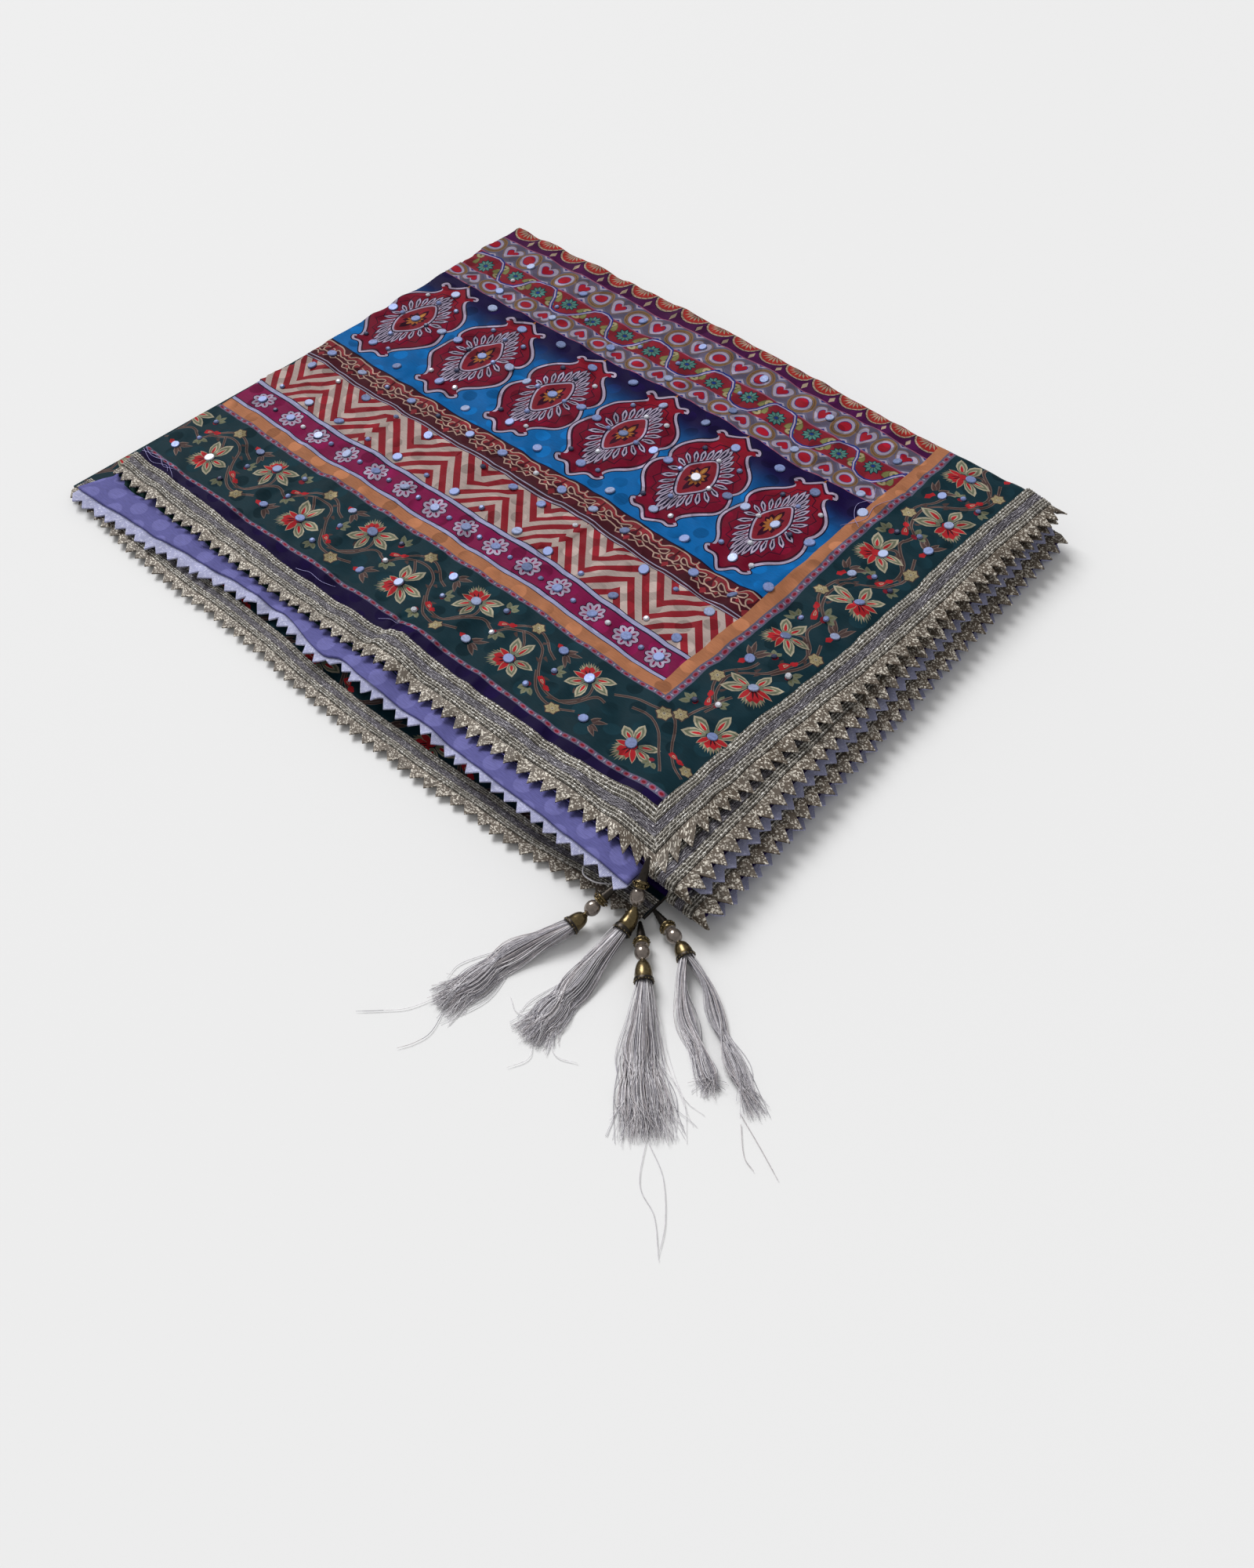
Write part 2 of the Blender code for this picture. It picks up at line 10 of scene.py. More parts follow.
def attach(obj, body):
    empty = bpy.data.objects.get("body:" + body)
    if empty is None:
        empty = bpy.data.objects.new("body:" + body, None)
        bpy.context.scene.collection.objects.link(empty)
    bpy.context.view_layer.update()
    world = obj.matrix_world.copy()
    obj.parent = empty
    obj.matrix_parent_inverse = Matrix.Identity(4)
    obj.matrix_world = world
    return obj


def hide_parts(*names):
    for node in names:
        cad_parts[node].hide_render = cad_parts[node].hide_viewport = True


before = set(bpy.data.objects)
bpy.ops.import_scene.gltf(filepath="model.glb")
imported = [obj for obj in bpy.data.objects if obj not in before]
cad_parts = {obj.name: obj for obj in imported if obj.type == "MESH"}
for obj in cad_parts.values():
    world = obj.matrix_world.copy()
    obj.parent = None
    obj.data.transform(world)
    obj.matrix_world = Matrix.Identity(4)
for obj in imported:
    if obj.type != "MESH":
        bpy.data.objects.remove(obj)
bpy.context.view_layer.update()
mm = 0.001
print("stage: frame loaded")


# A hex colour, as a dyer's chart gives it, in linear light
def dye(code):
    parts = [int(code[start:start + 2], 16) / 255 for start in (1, 3, 5)]
    return tuple(part / 12.92 if part < 0.04045 else ((part + 0.055) / 1.055) ** 2.4
                 for part in parts)


def ease(share):
    share = np.clip(share, 0.0, 1.0)
    return share * share * (3.0 - 2.0 * share)


def mix(low, high, share):
    return low + (high - low) * share


# The folded pile, with X from the lengthwise fold to the open long edges
pile = {
    "left": -0.178, "right": 0.1795, "near": -0.1395, "far": 0.1432,
    "leftNear": 0.010, "rightNear": 0.024, "leftFar": 0.016, "rightFar": 0.022,
    "cloth": 0.0012, "step": 0.0015, "hiddenDrop": 0.0018,
    "edgeFold": 0.0022, "crossFold": 0.0042,
    "farDroop": 0.0010, "droopX": 0.085, "droopY": 0.030, "nearDroop": 0.0028,
    "nearStart": -0.111, "nearRun": 0.026, "rightDroop": 0.0028, "rightStart": 0.150,
    "rightRun": 0.028, "creaseGain": 1.85,
    "seed": 11, "rippleCount": 26, "rippleRise": 0.00011, "rippleLong": (0.011, 0.034),
}
# Soft folds and creases pressed into the top: x, y, heading, half length, half width, rise
bigFolds = [
    (24, -128, 82, 30, 11, 3.0), (12, -128, 78, 20, 4, 1.4), (-48, -132, 2, 52, 15, -1.9),
    (146, -58, 8, 24, 15, 1.8),
    (150, 20, -6, 22, 14, 1.6), (140, 78, 12, 26, 14, 1.4), (30, -36, 4, 110, 13, 1.3),
    (131, 6, -38, 17, 6, -2.3), (147, 18, 24, 17, 8, 1.9), (134, -34, 12, 24, 6, -1.5),
    (146, -24, -20, 15, 6, 1.3), (112, 2, 80, 26, 5, 1.3), (128, 92, 70, 16, 5, -1.2),
    (-80, 20, 66, 50, 18, -1.0), (60, 50, 74, 55, 18, -1.2),
]
creases = [
    (-60, -18.5, -3, 48, 1.7, 0.62), (10, -15.5, 2, 38, 1.5, -0.55), (64, -19, 5, 34, 1.9, 0.66),
    (100, -25, -12, 24, 2.2, 0.55), (-20, -24, 8, 26, 2.3, -0.42), (40, -31, -6, 30, 2.6, 0.48),
    (-104, -23, 6, 22, 2.4, 0.34), (84, -35, 10, 22, 2.4, -0.46), (26, -38, 24, 13, 2.2, 0.50),
    (27, -22, 84, 10, 1.8, 0.66), (-100, -29, 78, 9, 2.0, 0.44), (-98, -36, 104, 10, 2.0, -0.38),
    (31, -30, 100, 12, 2.0, -0.56), (58, -27, 62, 12, 2.6, 0.40), (-50, -33, 40, 14, 2.6, 0.32),
    (112, -34, 34, 17, 2.8, 0.44), (-4, -40, -32, 16, 2.6, 0.30), (-136, -36, -20, 16, 3.0, 0.32),
    (108, -8, 64, 22, 3.4, 0.46), (92, 6, 48, 20, 3.2, -0.40), (116, 24, 80, 24, 3.2, 0.42),
    (-150, 14, 70, 24, 3.4, 0.36), (-120, 6, 84, 20, 3.6, -0.34), (-30, 10, 66, 26, 4.2, 0.34),
    (14, 22, 96, 28, 4.4, -0.32), (48, 60, 78, 22, 4.2, 0.34), (-60, 70, 88, 22, 4.6, 0.30),
    (80, 96, 24, 22, 3.0, 0.40), (20, 112, -10, 26, 2.8, 0.34), (-50, 116, 6, 28, 3.0, -0.34),
    (-120, 108, 12, 22, 3.2, 0.34), (-150, 122, 30, 16, 2.6, 0.42), (-90, 127, -6, 20, 2.2, 0.32),
    (60, 124, 8, 24, 2.4, 0.36), (112, 118, -18, 18, 2.6, 0.50), (121, 102, 6, 12, 1.8, -0.60),
    (144, 98, 14, 15, 2.8, 0.72), (150, 88, 4, 14, 3.0, -0.66), (147, 66, -10, 15, 3.2, 0.70),
    (152, 52, 8, 14, 3.2, -0.72), (143, 34, 12, 16, 3.0, 0.62), (150, 6, -4, 14, 3.2, -0.66),
    (145, -12, 10, 16, 3.0, 0.66), (151, -30, -8, 13, 3.0, -0.74), (146, -44, 4, 15, 2.8, 0.66),
    (150, -72, -12, 14, 3.2, -0.74), (142, -88, 16, 14, 3.2, 0.58), (128, -100, 40, 16, 3.0, 0.46),
    (-160, -84, 96, 16, 4.0, 0.44), (-128, -78, 82, 15, 3.6, -0.42), (-104, -92, 70, 17, 3.4, 0.48),
    (-78, -84, 98, 15, 3.6, -0.40), (-52, -98, 106, 18, 3.8, 0.52), (-30, -86, 84, 15, 3.2, -0.46),
    (-6, -94, 76, 17, 3.4, 0.50), (12, -104, 98, 18, 2.8, -0.70), (30, -98, 66, 16, 3.0, 0.62),
    (52, -88, 92, 15, 3.6, -0.46), (70, -102, 112, 17, 3.4, 0.50), (96, -92, 80, 16, 3.6, -0.42),
    (8, -118, 84, 13, 2.2, -0.90), (18, -122, 62, 11, 2.0, 0.66), (-40, -118, 100, 12, 3.0, 0.44),
    (-96, -122, 84, 12, 3.0, -0.40), (60, -122, 96, 12, 3.2, 0.42), (104, -124, 88, 12, 3.0, -0.44),
    (-70, -56, 3, 40, 2.4, 0.30), (44, -58, -4, 46, 2.4, 0.34), (98, -62, 12, 20, 2.4, -0.36),
    (-154, -52, 8, 18, 2.6, 0.34), (-10, 62, 40, 24, 4.0, 0.26), (-100, 46, 52, 26, 4.4, -0.26),
]
allFolds = bigFolds + [(*crease[:5], crease[5] * pile["creaseGain"]) for crease in creases]


# How the top layer has slid in its own plane, in mm: at its near edge, all of it further in,
# and at its far edge, with the start and run of each in m
slides = {
    "x": (-178, -120, -40, 10, 50, 100, 150, 182),
    "near": (4.0, 2.0, 1.5, 0.9, 0.0, -1.0, -1.7, -1.7),
    "inner": (0.0, 0.0, 0.0, -0.6, -2.4, -4.3, -4.5, -4.2),
    "far": (-0.3, 0.0, 0.0, -0.2, -0.9, -1.8, -0.9, 0.0),
    "spans": ((-0.113, 0.011), (-0.112, 0.070), (0.120, 0.018)),
    "corner": (159, -109, 24, 13, 4.6), "bow": (165, 14, 34, 52, 2.6),
}


def slid(x, y):
    near, inner, far = (np.interp(x, np.array(slides["x"]) * mm, slides[part])
                        for part in ("near", "inner", "far"))
    (nearFrom, nearRun), (innerFrom, innerRun), (farFrom, farRun) = slides["spans"]
    step = near * ease((nearFrom - y) / nearRun) + inner * ease((y - innerFrom) / innerRun)
    step = step + far * ease((y - farFrom) / farRun)
    spotX, spotY, reachX, reachY, rise = slides["corner"]
    away = ((x / mm - spotX) / reachX) ** 2 + ((y / mm - spotY) / reachY) ** 2
    bowX, bowY, wide, long, out = slides["bow"]
    aside = ((x / mm - bowX) / wide) ** 2 + ((y / mm - bowY) / long) ** 2
    return x + out * np.exp(-aside) * mm, y + (step + rise * np.exp(-away)) * mm


# Every wave of the cloth's small ripples: its direction, its length and where it starts
def rippleWaves():
    dice = random.Random(pile["seed"])
    short, long = pile["rippleLong"]
    return [(dice.uniform(0, math.pi), dice.uniform(short, long), dice.uniform(0, 6.28))
            for _ in range(pile["rippleCount"])]


waves = rippleWaves()


def pileHeight(x, y):
    across = (x - pile["left"]) / (pile["right"] - pile["left"])
    along = (y - pile["near"]) / (pile["far"] - pile["near"])
    z = mix(mix(pile["leftNear"], pile["rightNear"], across),
            mix(pile["leftFar"], pile["rightFar"], across), along)
    z = z - pile["nearDroop"] * ease((pile["nearStart"] - y) / pile["nearRun"])
    z = z - pile["rightDroop"] * ease((x - pile["rightStart"]) / pile["rightRun"])
    for foldX, foldY, heading, halfLong, halfWide, rise in allFolds:
        turn = math.radians(heading)
        dx, dy = x - foldX * mm, y - foldY * mm
        down = (dx * math.cos(turn) + dy * math.sin(turn)) / (halfLong * mm)
        over = (dy * math.cos(turn) - dx * math.sin(turn)) / (halfWide * mm)
        z = z + rise * mm * np.exp(-down * down - over * over)
    for heading, long, start in waves:
        z = z + pile["rippleRise"] * np.sin(
            (x * math.cos(heading) + y * math.sin(heading)) * 2 * math.pi / long + start)
    droop = pile["farDroop"] * ease((x - pile["droopX"]) / (pile["right"] - pile["droopX"]))
    return z - droop * ease((y - pile["far"] + pile["droopY"]) / pile["droopY"])


# Rows of cloth coordinates (along X, along Y, height off the cloth) laid on the pile's top,
# which turns down at the lengthwise fold and at the crosswise fold
def onTop(flat):
    edgeFold, crossFold = pile["edgeFold"], pile["crossFold"]
    alongX, alongY, lift = flat[:, 0], flat[:, 1], flat[:, 2]
    foldX, foldY = pile["left"] + edgeFold, pile["far"] - crossFold
    turnX = np.maximum(foldX - alongX, 0.0) / edgeFold
    turnY = np.maximum(alongY - foldY, 0.0) / crossFold
    x, y = np.maximum(alongX, foldX), np.minimum(alongY, foldY)
    dropX = edgeFold * (1.0 - np.cos(turnX))
    dropY = crossFold * (1.0 - np.cos(turnY))
    z = pileHeight(np.clip(x, pile["left"], pile["right"]), np.maximum(y, pile["near"]))
    z = z - np.hypot(dropX, dropY) + lift * np.cos(turnX) * np.cos(turnY)
    x = x - (edgeFold + lift) * np.sin(turnX)
    y = y + (crossFold + lift) * np.sin(turnY)
    return np.stack([*slid(x, y), z], axis=1)


# The cloth's own direction outwards at each row
def normalsOn(place, flat, reach=0.0003):
    ahead, aside = np.array([reach, 0, 0]), np.array([0, reach, 0])
    out = np.cross(place(flat + ahead) - place(flat - ahead),
                   place(flat + aside) - place(flat - aside))
    return out / np.linalg.norm(out, axis=1)[:, None]


# A mesh's points as rows, and the point at each corner of its faces
def rowsOf(mesh):
    rows, corners = np.empty(len(mesh.vertices) * 3), np.empty(len(mesh.loops), int)
    mesh.vertices.foreach_get("co", rows)
    mesh.loops.foreach_get("vertex_index", corners)
    return rows.reshape(-1, 3), corners


# Moves a mesh from cloth coordinates to its place and keeps them as its UV map
def layOn(mesh, place):
    flat, corners = rowsOf(mesh)
    uv = mesh.uv_layers.get("cloth") or mesh.uv_layers.new(name="cloth")
    uv.data.foreach_set("uv", flat[corners, :2].ravel())
    mesh.vertices.foreach_set("co", place(flat).ravel())
    if handOf(place, flat[::max(len(flat) // 40, 1)]) < 0:
        mesh.flip_normals()
    mesh.update()
    return flat


# Whether a place keeps the way round of what it lays, or mirrors it
def handOf(place, flat, reach=0.0002):
    steps = [place(flat + reach * axis) - place(flat - reach * axis) for axis in np.eye(3)]
    return np.einsum("ij,ij->i", np.cross(steps[0], steps[1]), steps[2]).sum()


def newObject(name, data, *materials):
    for material in materials:
        data.materials.append(material)
    made = bpy.data.objects.new(name, data)
    bpy.context.scene.collection.objects.link(made)
    return made


def meshFrom(bm, name):
    mesh = bpy.data.meshes.new(name)
    bm.to_mesh(mesh)
    bm.free()
    return mesh


# Colours of the print, as its dyes look on the cloth
dyes = {name: dye(code) for name, code in {
    "teal": "#163039", "orange": "#aa7050", "magenta": "#7a1646", "line": "#9a9bbd",
    "ink": "#15112a", "cream": "#ac9b95", "brick": "#84202a", "maroon": "#431620",
    "scroll": "#aa9082", "rust": "#7e2830", "blue": "#0b60a2", "violet": "#150838",
    "lilac": "#a498ae", "lilacDeep": "#6f6286", "crimson": "#6e0c27", "ruby": "#801024",
    "wine": "#330a20", "amber": "#9c6030", "gold": "#a9803f", "heart": "#961628",
    "pearl": "#9990a3", "tan": "#7d5f40", "slate": "#5c5a70", "ash": "#554e61",
    "poppy": "#7a1f2c", "mint": "#4f7d75", "mintDeep": "#214c4c", "moss": "#77764a",
    "olive": "#5a5a34", "sage": "#8a8c62", "plum": "#43103f", "purple": "#170b36",
    "ember": "#982824", "sand": "#9c8a76", "bark": "#4a3a38", "barkLight": "#73625c",
    "petal": "#6b6e5b", "petalLight": "#a59d88", "scarlet": "#a9252c", "blossom": "#9a8d6c",
    "navy": "#1c2f78", "rose": "#8c5068",
}.items()}

# The print is drawn in millimetres of cloth, each shape over the ones before it
drawn = []


def paint(points, colour, fadeTo=None, fadeFrom=0.0, fadeEnd=1.0):
    drawn.append((np.array(points, float), colour, fadeTo, fadeFrom, fadeEnd))


# Points drawn about 0, 0 moved to a spot of the print
def atSpot(points, spot):
    x, y, size, degrees, flip = spot
    turn = math.radians(degrees)
    moved = []
    for px, py in points:
        px = -px if flip else px
        moved.append((x + size * (px * math.cos(turn) - py * math.sin(turn)),
                      y + size * (px * math.sin(turn) + py * math.cos(turn))))
    return moved


def oval(x, y, wide, tall, count=14):
    steps = [2 * math.pi * step / count for step in range(count)]
    return [(x + wide / 2 * math.cos(turn), y + tall / 2 * math.sin(turn)) for turn in steps]


def bar(x0, y0, x1, y1):
    return [(x0, y0), (x1, y0), (x1, y1), (x0, y1)]


# A leaf or petal from its root, widest where swell says
def leaf(x, y, heading, long, wide, swell=1.0, count=5, root=0.0):
    turn = math.radians(heading)
    side = []
    for step in range(count + 1):
        share = step / count
        half = wide / 2 * max(math.sin(math.pi * share ** swell), root * (1 - share))
        side.append((share * long, half))
    outline = side + [(down, -half) for down, half in reversed(side[:-1])]
    outline = [point for point in outline if point != (0.0, -0.0)]
    return [(x + down * math.cos(turn) - half * math.sin(turn),
             y + down * math.sin(turn) + half * math.cos(turn)) for down, half in outline]


# A spot between two points of a smooth curve, from the points before and after them too
def curveSpot(before, start, stop, after, t):
    return 0.5 * (start * 2 + (stop - before) * t
                  + (before * 2 - start * 5 + stop * 4 - after) * t * t
                  + (start * 3 - before - stop * 3 + after) * t ** 3)


# A smooth line through given points
def smooth(points, steps=4, closed=False):
    count = len(points)
    line = []
    for index in range(count if closed else count - 1):
        picks = [index - 1, index, index + 1, index + 2]
        picks = [pick % count if closed else min(max(pick, 0), count - 1) for pick in picks]
        four = [np.array(points[pick], float) for pick in picks]
        line += [tuple(curveSpot(*four, step / steps)) for step in range(steps)]
    if not closed:
        line.append(tuple(points[-1]))
    return line


# A drawn line of some width, as one shape
def paintLine(line, wide, colour, closed=False):
    line = [np.array(point, float) for point in line]
    if closed:
        line = line + [line[0]]
    ahead = [stop - start for start, stop in zip(line, line[1:])]
    sides = []
    for index in range(len(line)):
        before, after = ahead[max(index - 1, 0)], ahead[min(index, len(ahead) - 1)]
        if closed and index in (0, len(line) - 1):
            before, after = ahead[-1], ahead[0]
        along = (before / max(np.linalg.norm(before), 1e-6)
                 + after / max(np.linalg.norm(after), 1e-6))
        along = along / max(np.linalg.norm(along), 0.35)
        sides.append(np.array((-along[1], along[0])) * wide / 2)
    outer = [point + side for point, side in zip(line, sides)]
    inner = [point - side for point, side in zip(line, sides)]
    paint(outer + inner[::-1], colour)


def paintLeaf(spot, colour, *form):
    paint(atSpot(leaf(*form), spot), colour)


def paintOval(spot, colour, *form):
    paint(atSpot(oval(*form), spot), colour)


bands = {
    "start": -181.0, "fieldEnd": 118.5, "orangeEnd": 124.5, "beadEnd": 128.2, "end": 180.0,
    "far": 146.0, "rosettes": 128.6, "circles": 110.8, "vine": 95.8, "hearts": 83.3,
    "ground": 2.0, "scrolls": -13.0, "lines": -15.6, "chevrons": -44.4, "whiteLine": -46.9,
    "daisies": -61.0, "whiteEnd": -63.2, "orange": -69.2, "bead": -71.6, "floral": -113.3,
    "beadNear": -115.4, "beadEastEnd": 164.0, "near": -139.0, "fadeStart": 74.0,
    "fadeEnd": 47.0,
}


# A bar of one colour between four of the bands' limits
def paintBand(west, low, east, high, colour, *fade):
    paint(bar(*(bands[side] for side in (west, low, east, high))), colour, *fade)


def drawGrounds():
    b = bands
    west, field = b["start"], b["end"]
    for low, high, colour in (("near", "far", "teal"), ("rosettes", "far", "plum"),
                              ("hearts", "rosettes", "ash"), ("vine", "circles", "poppy")):
        paintBand("start", low, "end", high, colour)
    paintBand("start", "ground", "end", "hearts", "violet", "blue", b["fadeStart"], b["fadeEnd"])
    for low, high, colour in (("scrolls", "ground", "maroon"), ("chevrons", "scrolls", "cream"),
                              ("daisies", "whiteLine", "magenta")):
        paintBand("start", low, "end", high, colour)
    for top, low in ((b["chevrons"], b["whiteLine"]), (b["daisies"], b["whiteEnd"])):
        paint(bar(west, low - 0.3, field, top + 0.3), "ink")
        paint(bar(west, low + 0.35, field, top - 0.15), "line")
    for edge in (b["rosettes"], b["circles"], b["vine"], b["hearts"]):
        paint(bar(west, edge - 0.35, field, edge + 0.35), "rose")
    paint(bar(west, b["ground"] - 0.3, field, b["ground"] + 0.4), "ink")


def drawBorders():
    b = bands
    middle, column = (b["orange"] + b["bead"]) / 2, (b["orangeEnd"] + b["beadEnd"]) / 2
    nearLine = (b["floral"] + b["beadNear"]) / 2
    for band in (("start", "floral", "end", "bead", "teal"),
                 ("beadEnd", "floral", "end", "far", "teal"),
                 ("fieldEnd", "orange", "orangeEnd", "far", "orange"),
                 ("start", "orange", "orangeEnd", "whiteEnd", "orange"),
                 ("start", "near", "end", "beadNear", "purple"),
                 ("start", "bead", "beadEnd", "orange", "slate"),
                 ("orangeEnd", "bead", "beadEnd", "far", "slate"),
                 ("start", "beadNear", "beadEastEnd", "floral", "slate")):
        paintBand(*band)
    drawChain(b["start"], middle, b["orangeEnd"], middle)
    drawChain(column, b["bead"], column, b["far"], 3.0)
    drawChain(b["start"], nearLine, b["beadEastEnd"], nearLine, 2.0)


# A chain of small red beads printed between two points
def drawChain(x0, y0, x1, y1, wide=2.3, pitch=4.6):
    long = math.hypot(x1 - x0, y1 - y0)
    degrees = math.degrees(math.atan2(y1 - y0, x1 - x0))
    count = round(long / pitch)
    for index in range(count):
        share = (index + 0.5) / count
        spot = (mix(x0, x1, share), mix(y0, y1, share), 1.0, degrees, False)
        paintOval(spot, "rose", 0, 0, 3.3, wide * 0.86, 8)
        paintOval(spot, "poppy", 0, 0, 2.1, wide * 0.5, 6)
        paint(atSpot([(pitch / 2 - 0.45, 0), (pitch / 2, wide * 0.36), (pitch / 2 + 0.45, 0),
                      (pitch / 2, -wide * 0.36)], spot), "pearl")


# The big medallions on the blue ground: half outlines, given from the waist
medallion = {
    "xs": (-155.6, -105.0, -54.4, -6.0, 41.6, 90.6), "y": 43.2, "turns": (0, 1, -1, 0, 1, -1),
    "outline": [(0, 37.6), (2.6, 35.6), (5.4, 33.2), (7.6, 32.0), (9.4, 33.2), (11.6, 33.6),
                (13.2, 31.4), (10.9, 30.6), (9.6, 27.6), (12.0, 23.8), (16.8, 19.8),
                (20.6, 15.4), (22.4, 10.2), (21.9, 5.6), (19.8, 2.0), (22.0, -1.8),
                (23.6, -7.2), (22.8, -12.6), (19.4, -17.6), (14.6, -22.4), (11.8, -26.4),
                (11.8, -29.8), (14.0, -31.4), (11.4, -33.8), (7.6, -33.0), (5.0, -34.0),
                (2.2, -36.8), (0, -38.4)],
    "almond": [(0, 14.4), (4.4, 10.0), (7.4, 4.6), (8.2, 0), (7.2, -5.0), (4.2, -10.4),
               (0, -14.6)],
    "tips": [(15.8, 4.2), (14.9, 9.6), (12.2, 14.0), (9.4, 17.4), (6.4, 20.6), (3.7, 23.6),
             (1.2, 26.4)],
    "lowTips": [(16.0, -3.4), (14.8, -9.4), (12.2, -14.4), (9.3, -18.6), (6.5, -22.4),
                (3.8, -25.8), (1.3, -28.8)],
    "roots": [(8.3, 1.2), (8.0, 3.6), (6.9, 6.2), (5.6, 8.6), (4.0, 10.9), (2.3, 12.9),
              (0.5, 14.8)],
    "lowRoots": [(8.2, -0.6), (7.7, -3.6), (6.6, -6.4), (5.2, -9.0), (3.7, -11.4), (2.1, -13.4),
                 (0.5, -15.2)],
}


def bothSides(half):
    return half + [(-x, y) for x, y in half[-2:0:-1]]


def drawMedallion(x, degrees):
    spot = (x, medallion["y"], 1.0, degrees, False)
    outline = atSpot(smooth(bothSides(medallion["outline"]), 3, closed=True), spot)
    paintLine(outline, 2.7, "ink", closed=True)
    paint(outline, "wine")
    paintLine(outline, 1.4, "lilac", closed=True)
    inside = [((px - x) * 0.925 + x, (py - spot[1]) * 0.945 + spot[1]) for px, py in outline]
    paint(inside, "crimson", "ruby", spot[1] + 6, spot[1] + 30)
    for side in (1, -1):
        for tips, roots in (("tips", "roots"), ("lowTips", "lowRoots")):
            up = 1 if tips == "tips" else -1
            flame = [(side * 8, up * 3), (side * 18.6, up * 4.6), (side * 15.2, up * 9.0),
                     (side * 16.4, up * 13.6), (side * 12.0, up * 15.8), (side * 11.6, up * 20.4),
                     (side * 7.6, up * 20.8), (side * 6.2, up * 25.0), (0, up * 27)]
            paintLine(atSpot(flame, spot), 0.6, "wine")
            for tip, root in zip(medallion[tips], medallion[roots]):
                dx, dy = tip[0] - root[0], tip[1] - root[1]
                long, heading = math.hypot(dx, dy), math.degrees(math.atan2(dy, side * dx))
                for colour, part, wide, start in (("ink", 1.06, 3.6, 0.0), ("lilac", 1.0, 2.7, 0.0),
                                                  ("ink", 0.58, 1.1, 0.24)):
                    petal = leaf(side * (root[0] + dx * start), root[1] + dy * start, heading,
                                 long * part, wide, 1.45, 5, 0.6)
                    paint(atSpot(petal, spot), colour)
    almond = atSpot(smooth(bothSides(medallion["almond"]), 3, closed=True), spot)
    paintLine(almond, 2.5, "ink", closed=True)
    paint(almond, "poppy")
    paintLine(almond, 1.0, "lilac", closed=True)
    for heading, long in ((90, 10.0), (50, 6.4), (130, 6.4), (-90, 11.0), (-50, 6.6), (-130, 6.6),
                          (15, 5.6), (165, 5.6)):
        paintLeaf(spot, "wine", 0, 0, heading, long, 3.8, 1.2, 4)
    for heading, long, wide in ((90, 7.8, 2.6), (45, 4.6, 1.8), (135, 4.6, 1.8), (8, 4.2, 1.7),
                                (172, 4.2, 1.7), (-28, 4.6, 1.6), (208, 4.6, 1.6),
                                (-62, 5.2, 1.6), (242, 5.2, 1.6), (-90, 6.4, 1.8)):
        paintLeaf(spot, "amber", 0, 0, heading, long, wide, 1.3, 4)
    paintLeaf(spot, "gold", 0, 1.6, 90, 4.6, 1.0, 1.1, 3)
    paintLeaf(spot, "amber", 0, 37.0, 90, 2.8, 1.5, 0.6, 3)


def drawMedallions():
    for x, turn in zip(medallion["xs"], medallion["turns"]):
        drawMedallion(x, turn)


daisyXs = [-161.8, -139.8, -118.5, -97.0, -76.0, -55.0, -34.3, -13.0, 6.5, 27.0, 46.5, 68.2,
           88.8, 107.6]
daisyY = -53.8


def drawDaisies():
    for x in daisyXs:
        for colour, out, long, wide in (("ink", 4.0, 5.2, 4.3), ("lilac", 4.0, 4.5, 3.4),
                                        ("magenta", 3.7, 2.4, 1.0)):
            for turn in range(8):
                angle = math.radians(45 * turn + 12)
                spot = (x + out * math.cos(angle), daisyY + out * math.sin(angle), 1.0,
                        45 * turn + 12, False)
                paintOval(spot, colour, 0, 0, long, wide, 9)
        paint(oval(x, daisyY, 4.4, 4.4, 10), "ink")


heartLine = [(0.0, 0.24), (0.13, 0.42), (0.33, 0.43), (0.49, 0.26), (0.47, 0.04), (0.28, -0.22),
             (0.0, -0.48)]


def heart(x, y, wide, tall, up=1):
    return [(x + px * wide, y + up * py * tall) for px, py in smooth(
        heartLine + [(-px, py) for px, py in heartLine[-2:0:-1]], 2, closed=True)]


# Rings with a red middle and hearts by turns, over a trellis of small triangles
def drawHearts(y, tall, up, shift):
    pitch, step = 13.6, 0
    x = -176.0 + shift
    while x < bands["fieldEnd"] + 6:
        for side in (1, -1):
            low = y + side * tall / 2
            point = (x + pitch / 2, low - side * 4.0)
            paint([(x + 1.8, low), point, (x + pitch - 1.8, low)], "slate")
            paint([(x + 3.6, low), (point[0], low - side * 2.5), (x + pitch - 3.6, low)], "pearl")
            paint([(x + 5.4, low), (point[0], low - side * 1.1), (x + pitch - 5.4, low)], "navy")
        x += pitch
    x = -176.0 + shift
    while x < bands["fieldEnd"] + 8:
        if step % 2 == 0:
            for wide, high, colour in ((15.0, 1.06, "slate"), (14.3, 1.0, "tan"),
                                       (12.8, 0.88, "bark"), (12.2, 0.84, "tan"),
                                       (10.8, 0.73, "slate"), (10.2, 0.68, "pearl"),
                                       (7.6, 0.46, "navy"), (7.0, 0.41, "heart")):
                paint(oval(x, y, wide, high * (tall - 1.2), 16), colour)
        else:
            for wide, colour in ((12.8, "tan"), (12.0, "slate"), (11.2, "pearl"), (7.0, "navy"),
                                 (6.3, "heart")):
                paint(heart(x, y, wide, wide * tall / 15.5, up), colour)
        x += pitch
        step += 1


